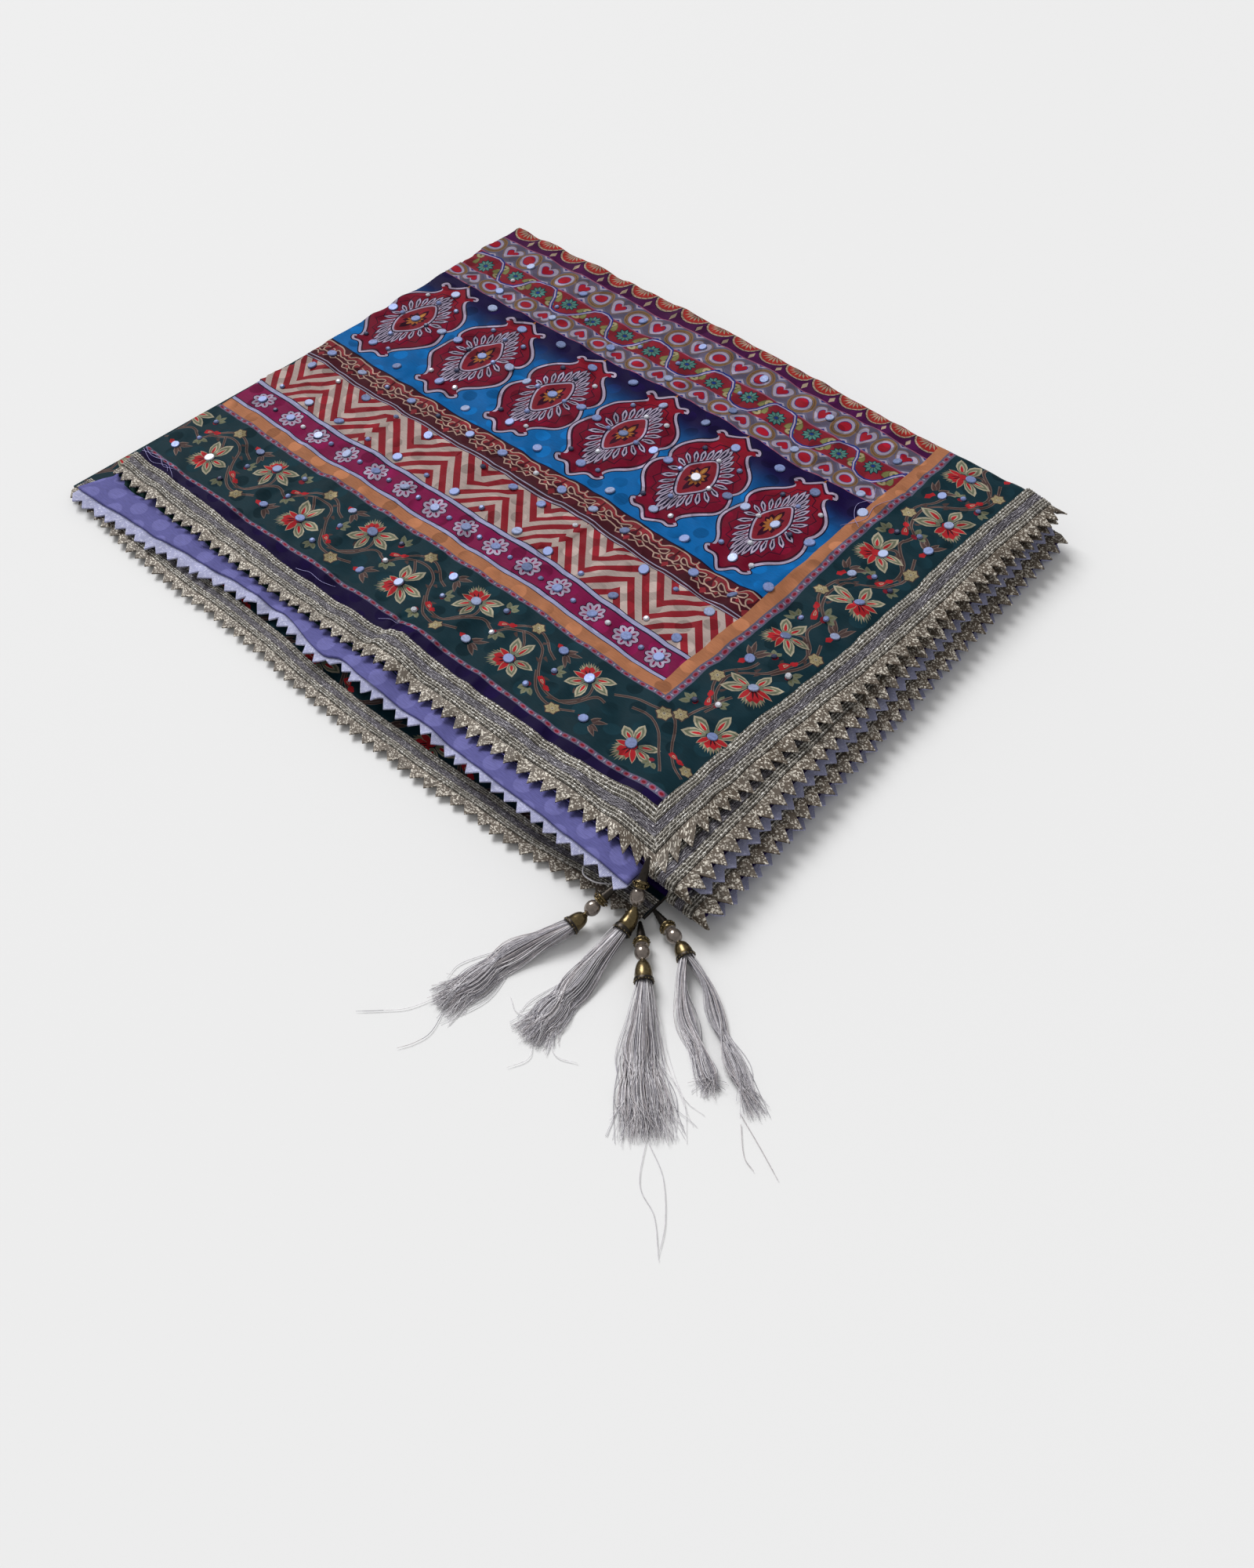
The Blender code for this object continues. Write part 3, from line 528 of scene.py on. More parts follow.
# Green daisies on red, with a wave of blue and white that runs over one and under the next
def drawVine():
    low, high = bands["vine"] + 0.5, bands["circles"] - 0.5
    x, step = -163.4, 0
    wave = []
    while x < bands["fieldEnd"] + 12:
        over = step % 2 == 0
        top, foot = (high - 0.4, low + 0.6) if over else (low + 0.4, high - 0.6)
        wave += [(x - 6.4, top), (x + 6.0, top)]
        y = (low + high) / 2 + (-1.6 if over else 1.4)
        for side in (-1, 1):
            paint(leaf(x + side * 7.4, y - 3.6, 90 - side * 8, 7.4, 3.6, 1.0, 4), "olive")
            paint(leaf(x + side * 7.4, y - 3.2, 90 - side * 8, 6.6, 2.8, 1.0, 4), "moss")
            leafX, leafY = x + side * 9.6, (high - 3.0 if over else low + 3.0)
            paint(oval(leafX, leafY, 5.6, 4.8, 9), "olive")
            paint(oval(leafX, leafY, 4.9, 4.1, 9), "blossom")
            paint(oval(leafX, leafY, 1.8, 1.4, 6), "olive")
        for colour, long, wide in (("ink", 5.5, 2.6), ("mintDeep", 5.1, 2.2), ("mint", 4.7, 1.5)):
            for turn in range(10):
                paint(leaf(x, y, 36 * turn + 9, long, wide, 1.7, 3), colour)
        paint(oval(x, y, 3.4, 3.0, 8), "mintDeep")
        paint(oval(x, y, 2.2, 2.0, 7), "navy")
        x += 20.5
        step += 1
    line = smooth([(-181.0, high - 4)] + wave, 3)
    paintLine(line, 2.0, "navy")
    paintLine([(px, py - 0.3) for px, py in line], 0.8, "lilac")


# Facing scrolls over small palmettes, in tan on maroon
def drawScrolls():
    low, high = bands["scrolls"], bands["ground"]
    x = -170.0
    while x < bands["fieldEnd"] + 12:
        for flip in (False, True):
            spot = (x, high, 1.0, 0.0, flip)
            fill = [(0.4, -1.4), (5.2, -1.2), (9.4, -3.8), (11.6, -2.0), (11.8, -4.4), (9.6, -5.6),
                    (5.8, -3.6), (3.6, -3.2), (3.8, -6.0), (2.0, -7.6), (0.4, -5.0)]
            paint(atSpot(fill, spot), "rust")
            for line in (
                [(0, -1.2), (4.0, -1.1), (7.0, -2.0), (9.4, -4.0), (12.0, -3.2), (11.8, -1.0)],
                [(12.0, -6.2), (9.6, -6.6), (6.6, -4.4), (4.4, -4.0), (4.6, -6.2), (6.8, -7.4),
                 (8.6, -6.8)],
                [(0, -8.6), (2.2, -8.4), (3.4, -6.6), (2.6, -4.8), (1.0, -4.6)],
                [(12.0, -9.2), (9.0, -9.4), (7.6, -11.6), (4.4, -10.4), (2.2, -12.2), (0, -11.2)],
                [(9.0, -9.4), (6.4, -8.4), (3.4, -9.6), (1.4, -8.6)],
            ):
                paintLine(atSpot(smooth(line, 2), spot), 0.72, "scroll")
            paintLeaf(spot, "rust", 5.4, -11.0, 70, 3.0, 1.8, 1.0, 3)
        paint([(x, low + 1.0), (x + 2.0, low + 3.4), (x, low + 5.2), (x - 2.0, low + 3.4)], "rust")
        x += 24.0
    west, field = bands["start"], bands["fieldEnd"]
    paint(bar(west, low - 2.6, field, low + 0.4), "maroon")
    for line in (low, low - 1.9):
        paint(bar(west, line - 0.55, field, line + 0.55), "ink")
        paint(bar(west, line - 0.3, field, line + 0.3), "pearl")


# Zigzag stripes, with the small notch that the repeat leaves at some peaks
def drawChevrons():
    low, high = bands["chevrons"], bands["lines"]
    turns = [-182.0, -162.6, -143.6, -122.6, -100.0, -77.0, -55.5, -35.0, -13.0, 6.8, 27.0, 47.0,
             67.4, 88.0, 108.4, 128.0]
    zigzag = []
    for index, x in enumerate(turns):
        y = 10.6 if index % 2 == 0 else -10.6
        if index in (4, 10):
            zigzag += [(x - 2.0, y - 2.0), (x, y - 4.6), (x + 2.0, y - 2.0)]
        else:
            zigzag.append((x, y))
    for stripe in range(-3, 7):
        base = high - 2.0 - 9.3 * stripe
        for start, stop in zip(zigzag, zigzag[1:]):
            piece = [(start[0], start[1] + base), (stop[0], stop[1] + base),
                     (stop[0], stop[1] + base - 4.7), (start[0], start[1] + base - 4.7)]
            piece = trimmed(piece, (bands["start"], low + 0.3, bands["fieldEnd"], high))
            if len(piece) > 2:
                paint(piece, "brick")


# Half rosettes that the crosswise fold cuts off
def drawRosettes():
    x = -168.0
    y = bands["far"] - 3.8
    while x < bands["fieldEnd"] + 6:
        for wide, tall, colour in ((18.4, 19.6, "ink"), (17.6, 18.8, "sand"), (15.8, 16.8, "rust"),
                                   (15.2, 16.2, "ember"), (9.0, 9.6, "poppy")):
            paint(oval(x, y, wide, tall, 20), colour)
        for turn in range(9):
            heading = 188 + turn * 20.5
            paint(leaf(x, y, heading, 7.2, 1.1, 1.6, 3), "sand")
            paint(leaf(x + 7.6 * math.cos(math.radians(heading)),
                       y + 8.0 * math.sin(math.radians(heading)), heading, 1.2, 0.9, 1, 2), "rust")
        paint([(x + 8.8, y - 12.6), (x + 10.2, y - 9.4), (x + 8.8, y - 6.4), (x + 7.4, y - 9.4)],
              "sand")
        x += 17.6


# A side view flower: petals that open to one side, and a feathered cup on the other
def drawFlower(spot):
    for turn, long in ((-168, 9.2), (-152, 10.4), (-138, 11.4), (-124, 10.8), (-110, 9.4)):
        for side in (-7, 0, 7):
            paintLeaf(spot, "sand" if side else "petal", 0, 0, turn + side,
                      long - abs(side) * 0.16, 1.5, 1.6, 3)
    for turn, long, wide in ((-150, 7.6, 3.8), (-128, 8.0, 4.2), (-106, 7.2, 3.4)):
        paintLeaf(spot, "scarlet", 0, 0, turn, long, wide, 1.5, 4)
    for turn in (-140, -118):
        paintLeaf(spot, "maroon", 0, 0, turn, 6.0, 0.8, 1.5, 3)
    for turn, long in ((172, 8.0), (-82, 9.2)):
        paintLeaf(spot, "sand", 0, 0, turn, long, 3.2, 1.0, 4)
        paintLeaf(spot, "scarlet", 0, 0, turn, long * 0.94, 2.5, 1.0, 4)
    for turn, long, wide in ((120, 13.0, 5.4), (78, 13.2, 5.2), (4, 12.4, 4.9), (-42, 12.4, 4.9)):
        for colour, part, broad in (("petalLight", 1.0, 1.0), ("petal", 0.90, 0.74)):
            paintLeaf(spot, colour, 0, 0, turn, long * part, wide * broad, 1.4, 5)
        red = math.radians(turn)
        root = (2.6 * math.cos(red), 2.6 * math.sin(red))
        for colour, part, broad in (("petalLight", 0.56, 0.46), ("scarlet", 0.48, 0.26)):
            paintLeaf(spot, colour, *root, turn, long * part, wide * broad, 1.0, 4)
    paintOval(spot, "scarlet", 0, 0, 4.0, 4.0, 8)


def drawBlossom(x, y, size=1.0):
    for colour, long, wide in (("bark", 3.8, 3.3), ("blossom", 3.35, 2.35)):
        for turn in range(6):
            paint(leaf(x, y, 60 * turn + 20, long * size, wide * size, 1.7, 3, 0.8), colour)
    paint(oval(x, y, 1.5 * size, 1.5 * size, 6), "petalLight")
    for turn in range(6):
        angle = math.radians(60 * turn + 20)
        paint(oval(x + 1.5 * size * math.cos(angle), y + 1.5 * size * math.sin(angle),
                   0.5 * size, 0.5 * size, 4), "bark")
    paint(oval(x, y, 0.7 * size, 0.7 * size, 5), "bark")


# A pair of red buds, one behind the other, on a stem
def drawBud(spot):
    paintLeaf(spot, "scarlet", -3.6, -0.6, 10, 7.0, 2.9, 0.8, 5)
    paintLeaf(spot, "petalLight", -1.6, -0.3, 10, 3.6, 1.3, 0.9, 3)
    paintLeaf(spot, "scarlet", -1.0, -0.2, 10, 2.6, 0.6, 0.9, 3)
    paintOval(spot, "scarlet", 4.2, 0.8, 3.2, 2.6, 8)
    paintOval(spot, "scarlet", 5.6, 1.4, 1.5, 1.4, 6)


# Two or three small leaves round a red calyx
def drawSprig(spot, leaves="petal"):
    for turn, long in ((118, 6.4), (70, 5.8), (28, 5.0)):
        paintLeaf(spot, leaves, 0, 0, turn, long, 2.8, 1.1, 4)
        paintLeaf(spot, "olive", 0, 0, turn, long * 0.8, 0.5, 1.1, 2)
    paintOval(spot, "poppy", 0, -0.8, 3.2, 2.6, 7)


# Grey leaves behind a red tip
def drawPlume(spot):
    paintLeaf(spot, "scarlet", 0, 0, 172, 5.0, 2.8, 1.4, 3, 0.7)
    for turn, long in ((38, 8.6), (62, 6.4), (-12, 6.8), (-34, 9.0)):
        paintLeaf(spot, "barkLight", 0.8, 0, turn, long, 2.5, 0.9, 4)
        paintLeaf(spot, "bark", 1.0, 0, turn, long * 0.92, 1.7, 0.9, 4)


# One repeat of the flowering vine, 68.8 mm long, about the middle of its band
def drawVineRepeat(at):
    def spot(x, y, size=1.0, degrees=0.0, flip=False):
        baseX, baseY, turn, squeeze = at
        angle = math.radians(turn)
        y = y * squeeze
        return (baseX + x * math.cos(angle) - y * math.sin(angle),
                baseY + x * math.sin(angle) + y * math.cos(angle), size, degrees + turn, flip)

    def along(points):
        return [spot(x, y)[:2] for x, y in points]

    stems = [
        [(-36, 2), (-30, 0), (-26, 5), (-19, 8.6), (-12, 9.2), (-6, 6.4), (-2, 0), (3, -6),
         (9, -9.6), (16, -10.4), (22, -7.6), (26, -2), (30, 2), (34, 2)],
        [(-28, 4), (-22, 11), (-14, 13.8), (-8, 12), (-3, 8), (2, 6)],
        [(0, -4), (6, -11), (13, -14.2), (20, -13.6), (27, -10)],
        [(18, -10), (23, -4), (26, 1), (24, 7)],
        [(-20, 8.4), (-14, 2), (-15, -3)],
    ]
    for stem in stems:
        line = along(smooth(stem, 3))
        paintLine(line, 1.3, "barkLight")
        paintLine(line, 0.8, "bark")
    for x, y, turn in ((-10, 8.6, 30), (-4, 4.4, -20), (3.6, -5.6, 20), (16.6, -10, -150),
                       (23.4, -6, 80), (-24, 6.4, -30), (21, -3, 130), (-1, 0.4, 170)):
        paintLeaf(spot(x, y), "bark", 0, 0, turn, 4.6, 1.8, 0.8, 3)
    drawFlower(spot(-13.0, -6.8))
    drawFlower(spot(20.6, 8.2, 0.94, -90))
    drawBud(spot(-30, 5.6, 1.0, 14))
    drawBud(spot(5.6, -6.8, 1.0, -34))
    drawSprig(spot(-33.4, 12.6, 1.0, 10))
    drawSprig(spot(-29.6, -0.4, 0.9, -110))
    drawSprig(spot(6.6, 1.0, 0.9, -30))
    drawSprig(spot(3.4, -13.0, 0.9, -150))
    drawPlume(spot(1.6, 12.4, 1.0, -14))
    drawPlume(spot(34.6, -11.4, 1.0, 0))
    drawBlossom(*spot(-16.0, 14.2)[:2])
    drawBlossom(*spot(19.0, -14.8)[:2])


# Where each repeat of the vine starts, along the border and up its other arm
repeats = {"along": (-201.4, -132.6, -63.8, 5.0, 73.8), "up": (-30.0, 38.8, 107.6)}


def drawFloralBorder():
    middle = (bands["bead"] + bands["floral"]) / 2
    for x in repeats["along"]:
        drawVineRepeat((x, middle, 0, 1.0))
    column = (bands["beadEnd"] + 160.0) / 2
    for y in repeats["up"]:
        drawVineRepeat((column, y, 90, 0.72))
    drawFlower((131.8, -101.6, 1.0, 24, False))
    drawFlower((152.6, -73.8, 1.0, 84, False))
    for line in ([(108, -84), (116, -79), (124, -78), (134, -76), (140, -82), (146, -92),
                  (152, -100), (158, -104)],
                 [(118, -84), (128, -83), (136, -88), (143, -98), (149, -107)],
                 [(138, -76), (139, -68), (143, -60), (146, -52)]):
        paintLine(smooth(line, 3), 1.3, "barkLight")
        paintLine(smooth(line, 3), 0.8, "bark")
    drawBlossom(130.6, -77.6, 1.1)
    drawBlossom(136.0, -73.2, 1.0)
    drawBlossom(157.2, -98.4, 0.9)
    drawBud((148.6, -94.6, 1.0, -30, False))
    drawSprig((142.4, -103.4, 0.9, 200, False))


# Cuts a shape off at the sides of a box
def trimmed(points, box):
    points = [tuple(point) for point in points]
    for axis, limit, keep in ((0, box[0], 1), (1, box[1], 1), (0, box[2], -1), (1, box[3], -1)):
        kept = []
        for start, stop in zip(points, points[1:] + points[:1]):
            startIn, stopIn = ((point[axis] - limit) * keep >= 0 for point in (start, stop))
            if startIn:
                kept.append(start)
            if startIn != stopIn:
                share = (limit - start[axis]) / (stop[axis] - start[axis])
                cut = [mix(start[0], stop[0], share), mix(start[1], stop[1], share)]
                cut[axis] = limit
                kept.append(tuple(cut))
        points = kept
    return points


# The print isn't quite straight on the cloth: the field's end leans and every band wavers
def waver(points):
    x, y = points[:, 0], points[:, 1]
    lean = -5.6 * (y + 60) / 195 * ease((x - 60) / 52) * (1 - ease((x - 130) / 26))
    sway = (0.7 * np.sin(x / 41 + 0.6) + 0.45 * np.sin(x / 17 + y / 60) * ease((y + 120) / 60)
            + 0.3 * np.sin(x / 9.5 + y / 23))
    shift = 0.5 * np.sin(y / 19 + x / 70) + 0.25 * np.sin(y / 7.3 + x / 31)
    return np.stack([x + lean + shift, y + sway * (1 - ease((y - 128) / 10))], axis=1)


# Points added along a shape's long sides, so that they waver too
def closer(points, gap=5.0):
    dense = []
    for start, stop in zip(points, np.roll(points, -1, axis=0)):
        count = max(math.ceil(np.linalg.norm(stop - start) / gap), 1)
        dense += [mix(start, stop, step / count) for step in range(count)]
    return np.array(dense)


# Points on a grid over a box, with those of its rim or without
def gridOf(box, pitch, rim):
    across, along = (max(round((box[axis + 2] - box[axis]) / pitch), 1) for axis in (0, 1))
    return [(mix(box[0], box[2], column / across), mix(box[1], box[3], row / along))
            for column in range(1 - rim, across + rim) for row in range(1 - rim, along + rim)]


# Cuts a patch of cloth along every line of its print, so that each face has one colour
def cutAlongPrint(shapes, box, grid):
    coords, edges, kept = [], [], []
    for points, colour, fadeTo, fadeFrom, fadeEnd in shapes:
        points = trimmed(waver(closer(points)), box)
        if len(points) < 3:
            continue
        start, count = len(coords), len(points)
        coords += points
        edges += [(start + index, start + (index + 1) % count) for index in range(count)]
        kept.append((np.array(points), colour, fadeTo, fadeFrom, fadeEnd))
    coords += gridOf(box, grid, 1)
    verts, _, faces, _, _, _ = delaunay_2d_cdt(coords, edges, [], 0, 0.002, False)
    verts = np.array([tuple(vert) for vert in verts])
    faces = np.array(faces)
    return verts, faces, colourFaces(verts, faces, kept)


# The topmost shape over each face, by how often its outline winds round the face's middle
def colourFaces(verts, faces, shapes):
    middles = verts[faces].mean(axis=1)
    order = np.argsort(middles[:, 0])
    sortedX = middles[order, 0]
    owner = np.zeros(len(faces), int)
    for number, (points, *_) in enumerate(shapes):
        low, high = points.min(axis=0), points.max(axis=0)
        near = order[np.searchsorted(sortedX, low[0]):np.searchsorted(sortedX, high[0])]
        near = near[(middles[near, 1] >= low[1]) & (middles[near, 1] <= high[1])]
        x, y = middles[near, 0][:, None], middles[near, 1][:, None]
        start, stop = points, np.roll(points, -1, axis=0)
        side = ((stop[:, 0] - start[:, 0]) * (y - start[:, 1])
                - (x - start[:, 0]) * (stop[:, 1] - start[:, 1]))
        rising = (start[:, 1] <= y) & (stop[:, 1] > y) & (side > 0)
        falling = (start[:, 1] > y) & (stop[:, 1] <= y) & (side < 0)
        inside = (rising.sum(axis=1) - falling.sum(axis=1)) != 0
        owner[near[inside]] = number
    first = np.array([dyes[shape[1]] for shape in shapes])
    last = np.array([dyes[shape[2] or shape[1]] for shape in shapes])
    span = np.array([(shape[3], shape[4]) for shape in shapes], float)
    corner = verts[faces][:, :, 1]
    fade = ease((corner - span[owner, 0][:, None]) / (span[owner, 1] - span[owner, 0])[:, None])
    return mix(first[owner][:, None, :], last[owner][:, None, :], fade[:, :, None])


def drawStole():
    drawGrounds()
    drawRosettes()
    drawHearts((bands["circles"] + bands["rosettes"]) / 2, 17.0, 1, 1.6)
    drawHearts((bands["hearts"] + bands["vine"]) / 2, 12.5, -1, 1.6)
    drawVine()
    drawMedallions()
    drawScrolls()
    drawChevrons()
    drawDaisies()
    drawBorders()
    drawFloralBorder()


drawStole()
print("stage: print drawn,", len(drawn), "shapes")


# A node group that takes the cloth's coordinates and named values, and its named outputs
def newGroup(name, values, outputs):
    group = bpy.data.node_groups.new(name, "ShaderNodeTree")
    group.interface.new_socket("Cloth", in_out="INPUT", socket_type="NodeSocketVector")
    for label, value in values.items():
        socket = group.interface.new_socket(label, in_out="INPUT", socket_type="NodeSocketFloat")
        socket.default_value = value
    for label in outputs:
        group.interface.new_socket(label, in_out="OUTPUT", socket_type="NodeSocketFloat")
    return group, group.nodes.new("NodeGroupInput"), group.nodes.new("NodeGroupOutput")


# Adds a node, sets its choices, and fills its sockets with values or links
def addNode(tree, kind, inputs=(), **choices):
    node = tree.nodes.new("ShaderNode" + kind)
    for choice, value in choices.items():
        setattr(node, choice, value)
    for key, value in dict(inputs).items():
        if isinstance(value, bpy.types.NodeSocket):
            tree.links.new(value, node.inputs[key])
        else:
            node.inputs[key].default_value = value
    return node


def vectorMath(tree, operation, first, second=None, scale=None):
    inputs = {0: first}
    if second is not None:
        inputs[1] = second
    if scale is not None:
        inputs["Scale"] = scale
    node = addNode(tree, "VectorMath", inputs, operation=operation)
    return node.outputs["Value" if operation == "LENGTH" else "Vector"]


def valueMath(tree, operation, first, second=0.0):
    return addNode(tree, "Math", {0: first, 1: second}, operation=operation).outputs[0]


def rangeOf(tree, value, low, high, toLow=0.0, toHigh=1.0):
    return addNode(tree, "MapRange", {"Value": value, "From Min": low, "From Max": high,
                                      "To Min": toLow, "To Max": toHigh}).outputs[0]


# A colour between two, each given as a dye's code or as a link
def blended(tree, factor, low, high):
    low, high = ((*dye(end), 1) if isinstance(end, str) else end for end in (low, high))
    return addNode(tree, "Mix", {"Factor": factor, 6: low, 7: high}, data_type="RGBA").outputs[2]


# Woven discs in staggered rows, threads that cross, slubs along them, and soft noise patches that
# steer the satin's painted sheen and shade
def buildWeaveGroup():
    group, given, out = newGroup("wovenDiscs", {"Disc Size": 0.0038, "Thread": 0.00042},
                                 ("Discs", "Threads", "Slubs", "SheenAndShadePatches"))
    cloth, pitch = given.outputs["Cloth"], (0.0172, 0.0166, 1.0)
    rows = []
    for shift in (0.0, 0.5):
        cells = vectorMath(group, "DIVIDE", cloth, pitch)
        cells = vectorMath(group, "ADD", cells, (shift, shift, 0.0))
        cells = vectorMath(group, "FRACTION", cells)
        cells = vectorMath(group, "SUBTRACT", cells, (0.5, 0.5, 0.0))
        cells = vectorMath(group, "MULTIPLY", cells, (pitch[0], pitch[1], 0.0))
        rows.append(vectorMath(group, "LENGTH", cells))
    nearest = valueMath(group, "MINIMUM", rows[0], rows[1])
    inside = valueMath(group, "DIVIDE", nearest, given.outputs["Disc Size"])
    group.links.new(rangeOf(group, inside, 1.04, 0.92), out.inputs["Discs"])
    turned = addNode(group, "SeparateXYZ", {0: cloth})
    waves = []
    for axis in ("X", "Y"):
        count = valueMath(group, "DIVIDE", turned.outputs[axis], given.outputs["Thread"])
        waves.append(valueMath(group, "SINE", valueMath(group, "MULTIPLY", count, 6.283)))
    group.links.new(valueMath(group, "MULTIPLY", *waves), out.inputs["Threads"])
    stretched = vectorMath(group, "MULTIPLY", cloth, (260.0, 2600.0, 1.0))
    slubs = addNode(group, "TexNoise", {"Vector": stretched, "Scale": 1.0, "Detail": 2.0})
    group.links.new(slubs.outputs[0], out.inputs["Slubs"])
    patches = addNode(group, "TexNoise", {"Vector": cloth, "Scale": 34.0, "Detail": 2.0})
    group.links.new(patches.outputs[0], out.inputs["SheenAndShadePatches"])
    return group


# Twisted thread: diagonal wraps along a cord, and spots here and there that take a painted glint
def buildTwistGroup():
    group, given, out = newGroup("twistedThread", {"Wrap": 0.0006, "Slant": 1.0},
                                 ("Wraps", "Glints", "Age"))
    parts = addNode(group, "SeparateXYZ", {0: given.outputs["Cloth"]})
    slanted = valueMath(group, "MULTIPLY", parts.outputs["Y"], given.outputs["Slant"])
    run = valueMath(group, "ADD", parts.outputs["X"], slanted)
    run = valueMath(group, "DIVIDE", run, given.outputs["Wrap"])
    wraps = valueMath(group, "SINE", valueMath(group, "MULTIPLY", run, 6.283))
    group.links.new(rangeOf(group, wraps, -1.0, 1.0), out.inputs["Wraps"])
    cells = addNode(group, "TexVoronoi", {"Vector": given.outputs["Cloth"], "Scale": 1700.0})
    split = addNode(group, "SeparateXYZ", {0: cells.outputs["Color"]})
    group.links.new(rangeOf(group, split.outputs["X"], 0.62, 0.98), out.inputs["Glints"])
    age = addNode(group, "TexNoise", {"Vector": given.outputs["Cloth"], "Scale": 120.0,
                                      "Detail": 3.0})
    group.links.new(age.outputs[0], out.inputs["Age"])
    return group


wovenDiscs = buildWeaveGroup()
twistedThread = buildTwistGroup()


def startMaterial(name, **fixed):
    material = bpy.data.materials.new(name)
    material.use_nodes = True
    tree = material.node_tree
    shader = tree.nodes["Principled BSDF"]
    for socket, value in fixed.items():
        shader.inputs[socket.replace("_", " ")].default_value = value
    return material, tree, shader


def groupNode(tree, group, **inputs):
    node = addNode(tree, "Group")
    node.node_tree = group
    cloth = addNode(tree, "UVMap", uv_map="cloth")
    tree.links.new(cloth.outputs[0], node.inputs["Cloth"])
    for socket, value in inputs.items():
        node.inputs[socket.replace("_", " ")].default_value = value
    return node


# A shader's colour, scaled by a tone, and its roughness
def feed(tree, shader, colour, tone, rough=None):
    scaled = vectorMath(tree, "SCALE", colour, scale=tone)
    tree.links.new(scaled, shader.inputs["Base Color"])
    if rough:
        tree.links.new(rough, shader.inputs["Roughness"])


def bumpOn(tree, shader, height, strength, distance):
    bump = addNode(tree, "Bump", {"Height": height, "Strength": strength, "Distance": distance})
    tree.links.new(bump.outputs[0], shader.inputs["Normal"])


# The weave's own bumps: its slubs, and a share of its threads
def weaveBump(tree, shader, weave, share, strength, distance):
    threads = valueMath(tree, "MULTIPLY", weave.outputs["Threads"], share)
    height = valueMath(tree, "ADD", weave.outputs["Slubs"], threads)
    bumpOn(tree, shader, height, strength, distance)


# The printed satin: its dyes from the print; its woven discs painted lighter in some patches and
# darker in others, a painted sheen, over soft patches of painted shade
def printedSatin():
    material, tree, shader = startMaterial("printedSatin", Specular_IOR_Level=0.03)
    printed = addNode(tree, "VertexColor", layer_name="print")
    weave = groupNode(tree, wovenDiscs, Thread=0.00045)
    # Painted sheen: the woven discs show lighter in some patches and darker in others, as a satin's
    # sheen would turn
    side = rangeOf(tree, weave.outputs["SheenAndShadePatches"], 0.42, 0.58, -0.30, 0.36)
    discSheen = valueMath(tree, "MULTIPLY", weave.outputs["Discs"], side)
    slubs = rangeOf(tree, weave.outputs["Slubs"], 0.3, 0.7, 0.74, 0.94)
    # Painted shade: soft patches a little darker or lighter, standing in for the shading of small
    # wrinkles
    drift = rangeOf(tree, weave.outputs["SheenAndShadePatches"], 0.34, 0.66, 0.10, -0.10)
    shade = valueMath(tree, "ADD", valueMath(tree, "ADD", discSheen, slubs), drift)
    gloss = rangeOf(tree, weave.outputs["Discs"], 0.0, 1.0, 0.50, 0.64)
    feed(tree, shader, printed.outputs["Color"], shade, gloss)
    weaveBump(tree, shader, weave, 0.35, 0.32, 0.00008)
    return material


# The reverse of the cloth: lavender, with the same discs in a paler weave
def lavenderReverse():
    material, tree, shader = startMaterial("lavenderReverse", Specular_IOR_Level=0.05)
    weave = groupNode(tree, wovenDiscs, Thread=0.00052, Disc_Size=0.0042)
    ramp = blended(tree, weave.outputs["Discs"], "#5d5c94", "#6c6ba5")
    slubs = rangeOf(tree, weave.outputs["Slubs"], 0.3, 0.7, 0.82, 1.16)
    feed(tree, shader, ramp, slubs, rangeOf(tree, weave.outputs["Slubs"], 0.3, 0.7, 0.52, 0.66))
    weaveBump(tree, shader, weave, 0.5, 0.45, 0.00010)
    return material


# Metallic thread in two tones, with wraps, tarnish, and glints painted into its colour as bright
# spots
def threadMaterial(name, dark, light, paintedGlintColour, wrap=0.0006, slant=1.0, metal=0.2, rough=0.55):
    material, tree, shader = startMaterial(name, Metallic=metal, Specular_IOR_Level=0.4)
    twist = groupNode(tree, twistedThread, Wrap=wrap, Slant=slant)
    wraps = blended(tree, twist.outputs["Wraps"], dark, light)
    # Painted glints: bright spots painted into the thread's colour
    withPaintedGlints = blended(tree, twist.outputs["Glints"], wraps, paintedGlintColour)
    worn = rangeOf(tree, twist.outputs["Age"], 0.3, 0.7, 0.74, 1.10)
    gloss = rangeOf(tree, twist.outputs["Glints"], 0.0, 1.0, rough, rough * 0.6)
    feed(tree, shader, withPaintedGlints, worn, gloss)
    bumpOn(tree, shader, twist.outputs["Wraps"], 0.5, 0.00012)
    return material


# The tape under the cords: dark between them, partly its own colour and partly painted shade in the
# gaps; lilac-grey under the braid, darkened by painted shade between the filaments; speckled at the
# teeth with painted glints
def tapeMaterial():
    material, tree, shader = startMaterial("glitterTape", Metallic=0.15, Roughness=0.55)
    twist = groupNode(tree, twistedThread, Wrap=0.0005, Slant=0.6)
    cloth = addNode(tree, "UVMap", uv_map="cloth")
    across = addNode(tree, "SeparateXYZ", {0: cloth.outputs[0]}).outputs["Y"]
    braid = valueMath(tree, "MULTIPLY", rangeOf(tree, across, 0.0038, 0.0040),
                      rangeOf(tree, across, 0.0074, 0.0072))
    # Painted shade: the ground is darkened between the cords and between the braid's filaments, so
    # that the gaps read dark
    ground = blended(tree, braid, "#2e2925", "#4a4650")
    # Painted glints: bright specks on the toothed lurex
    lurexWithPaintedGlints = blended(tree, twist.outputs["Glints"], "#4e4235", "#d6cfc2")
    toothed = blended(tree, rangeOf(tree, across, 0.0113, 0.0115), ground, lurexWithPaintedGlints)
    worn = rangeOf(tree, twist.outputs["Age"], 0.3, 0.7, 0.74, 1.14)
    feed(tree, shader, toothed, worn)
    bumpOn(tree, shader, twist.outputs["Glints"], 0.25, 0.00010)
    return material


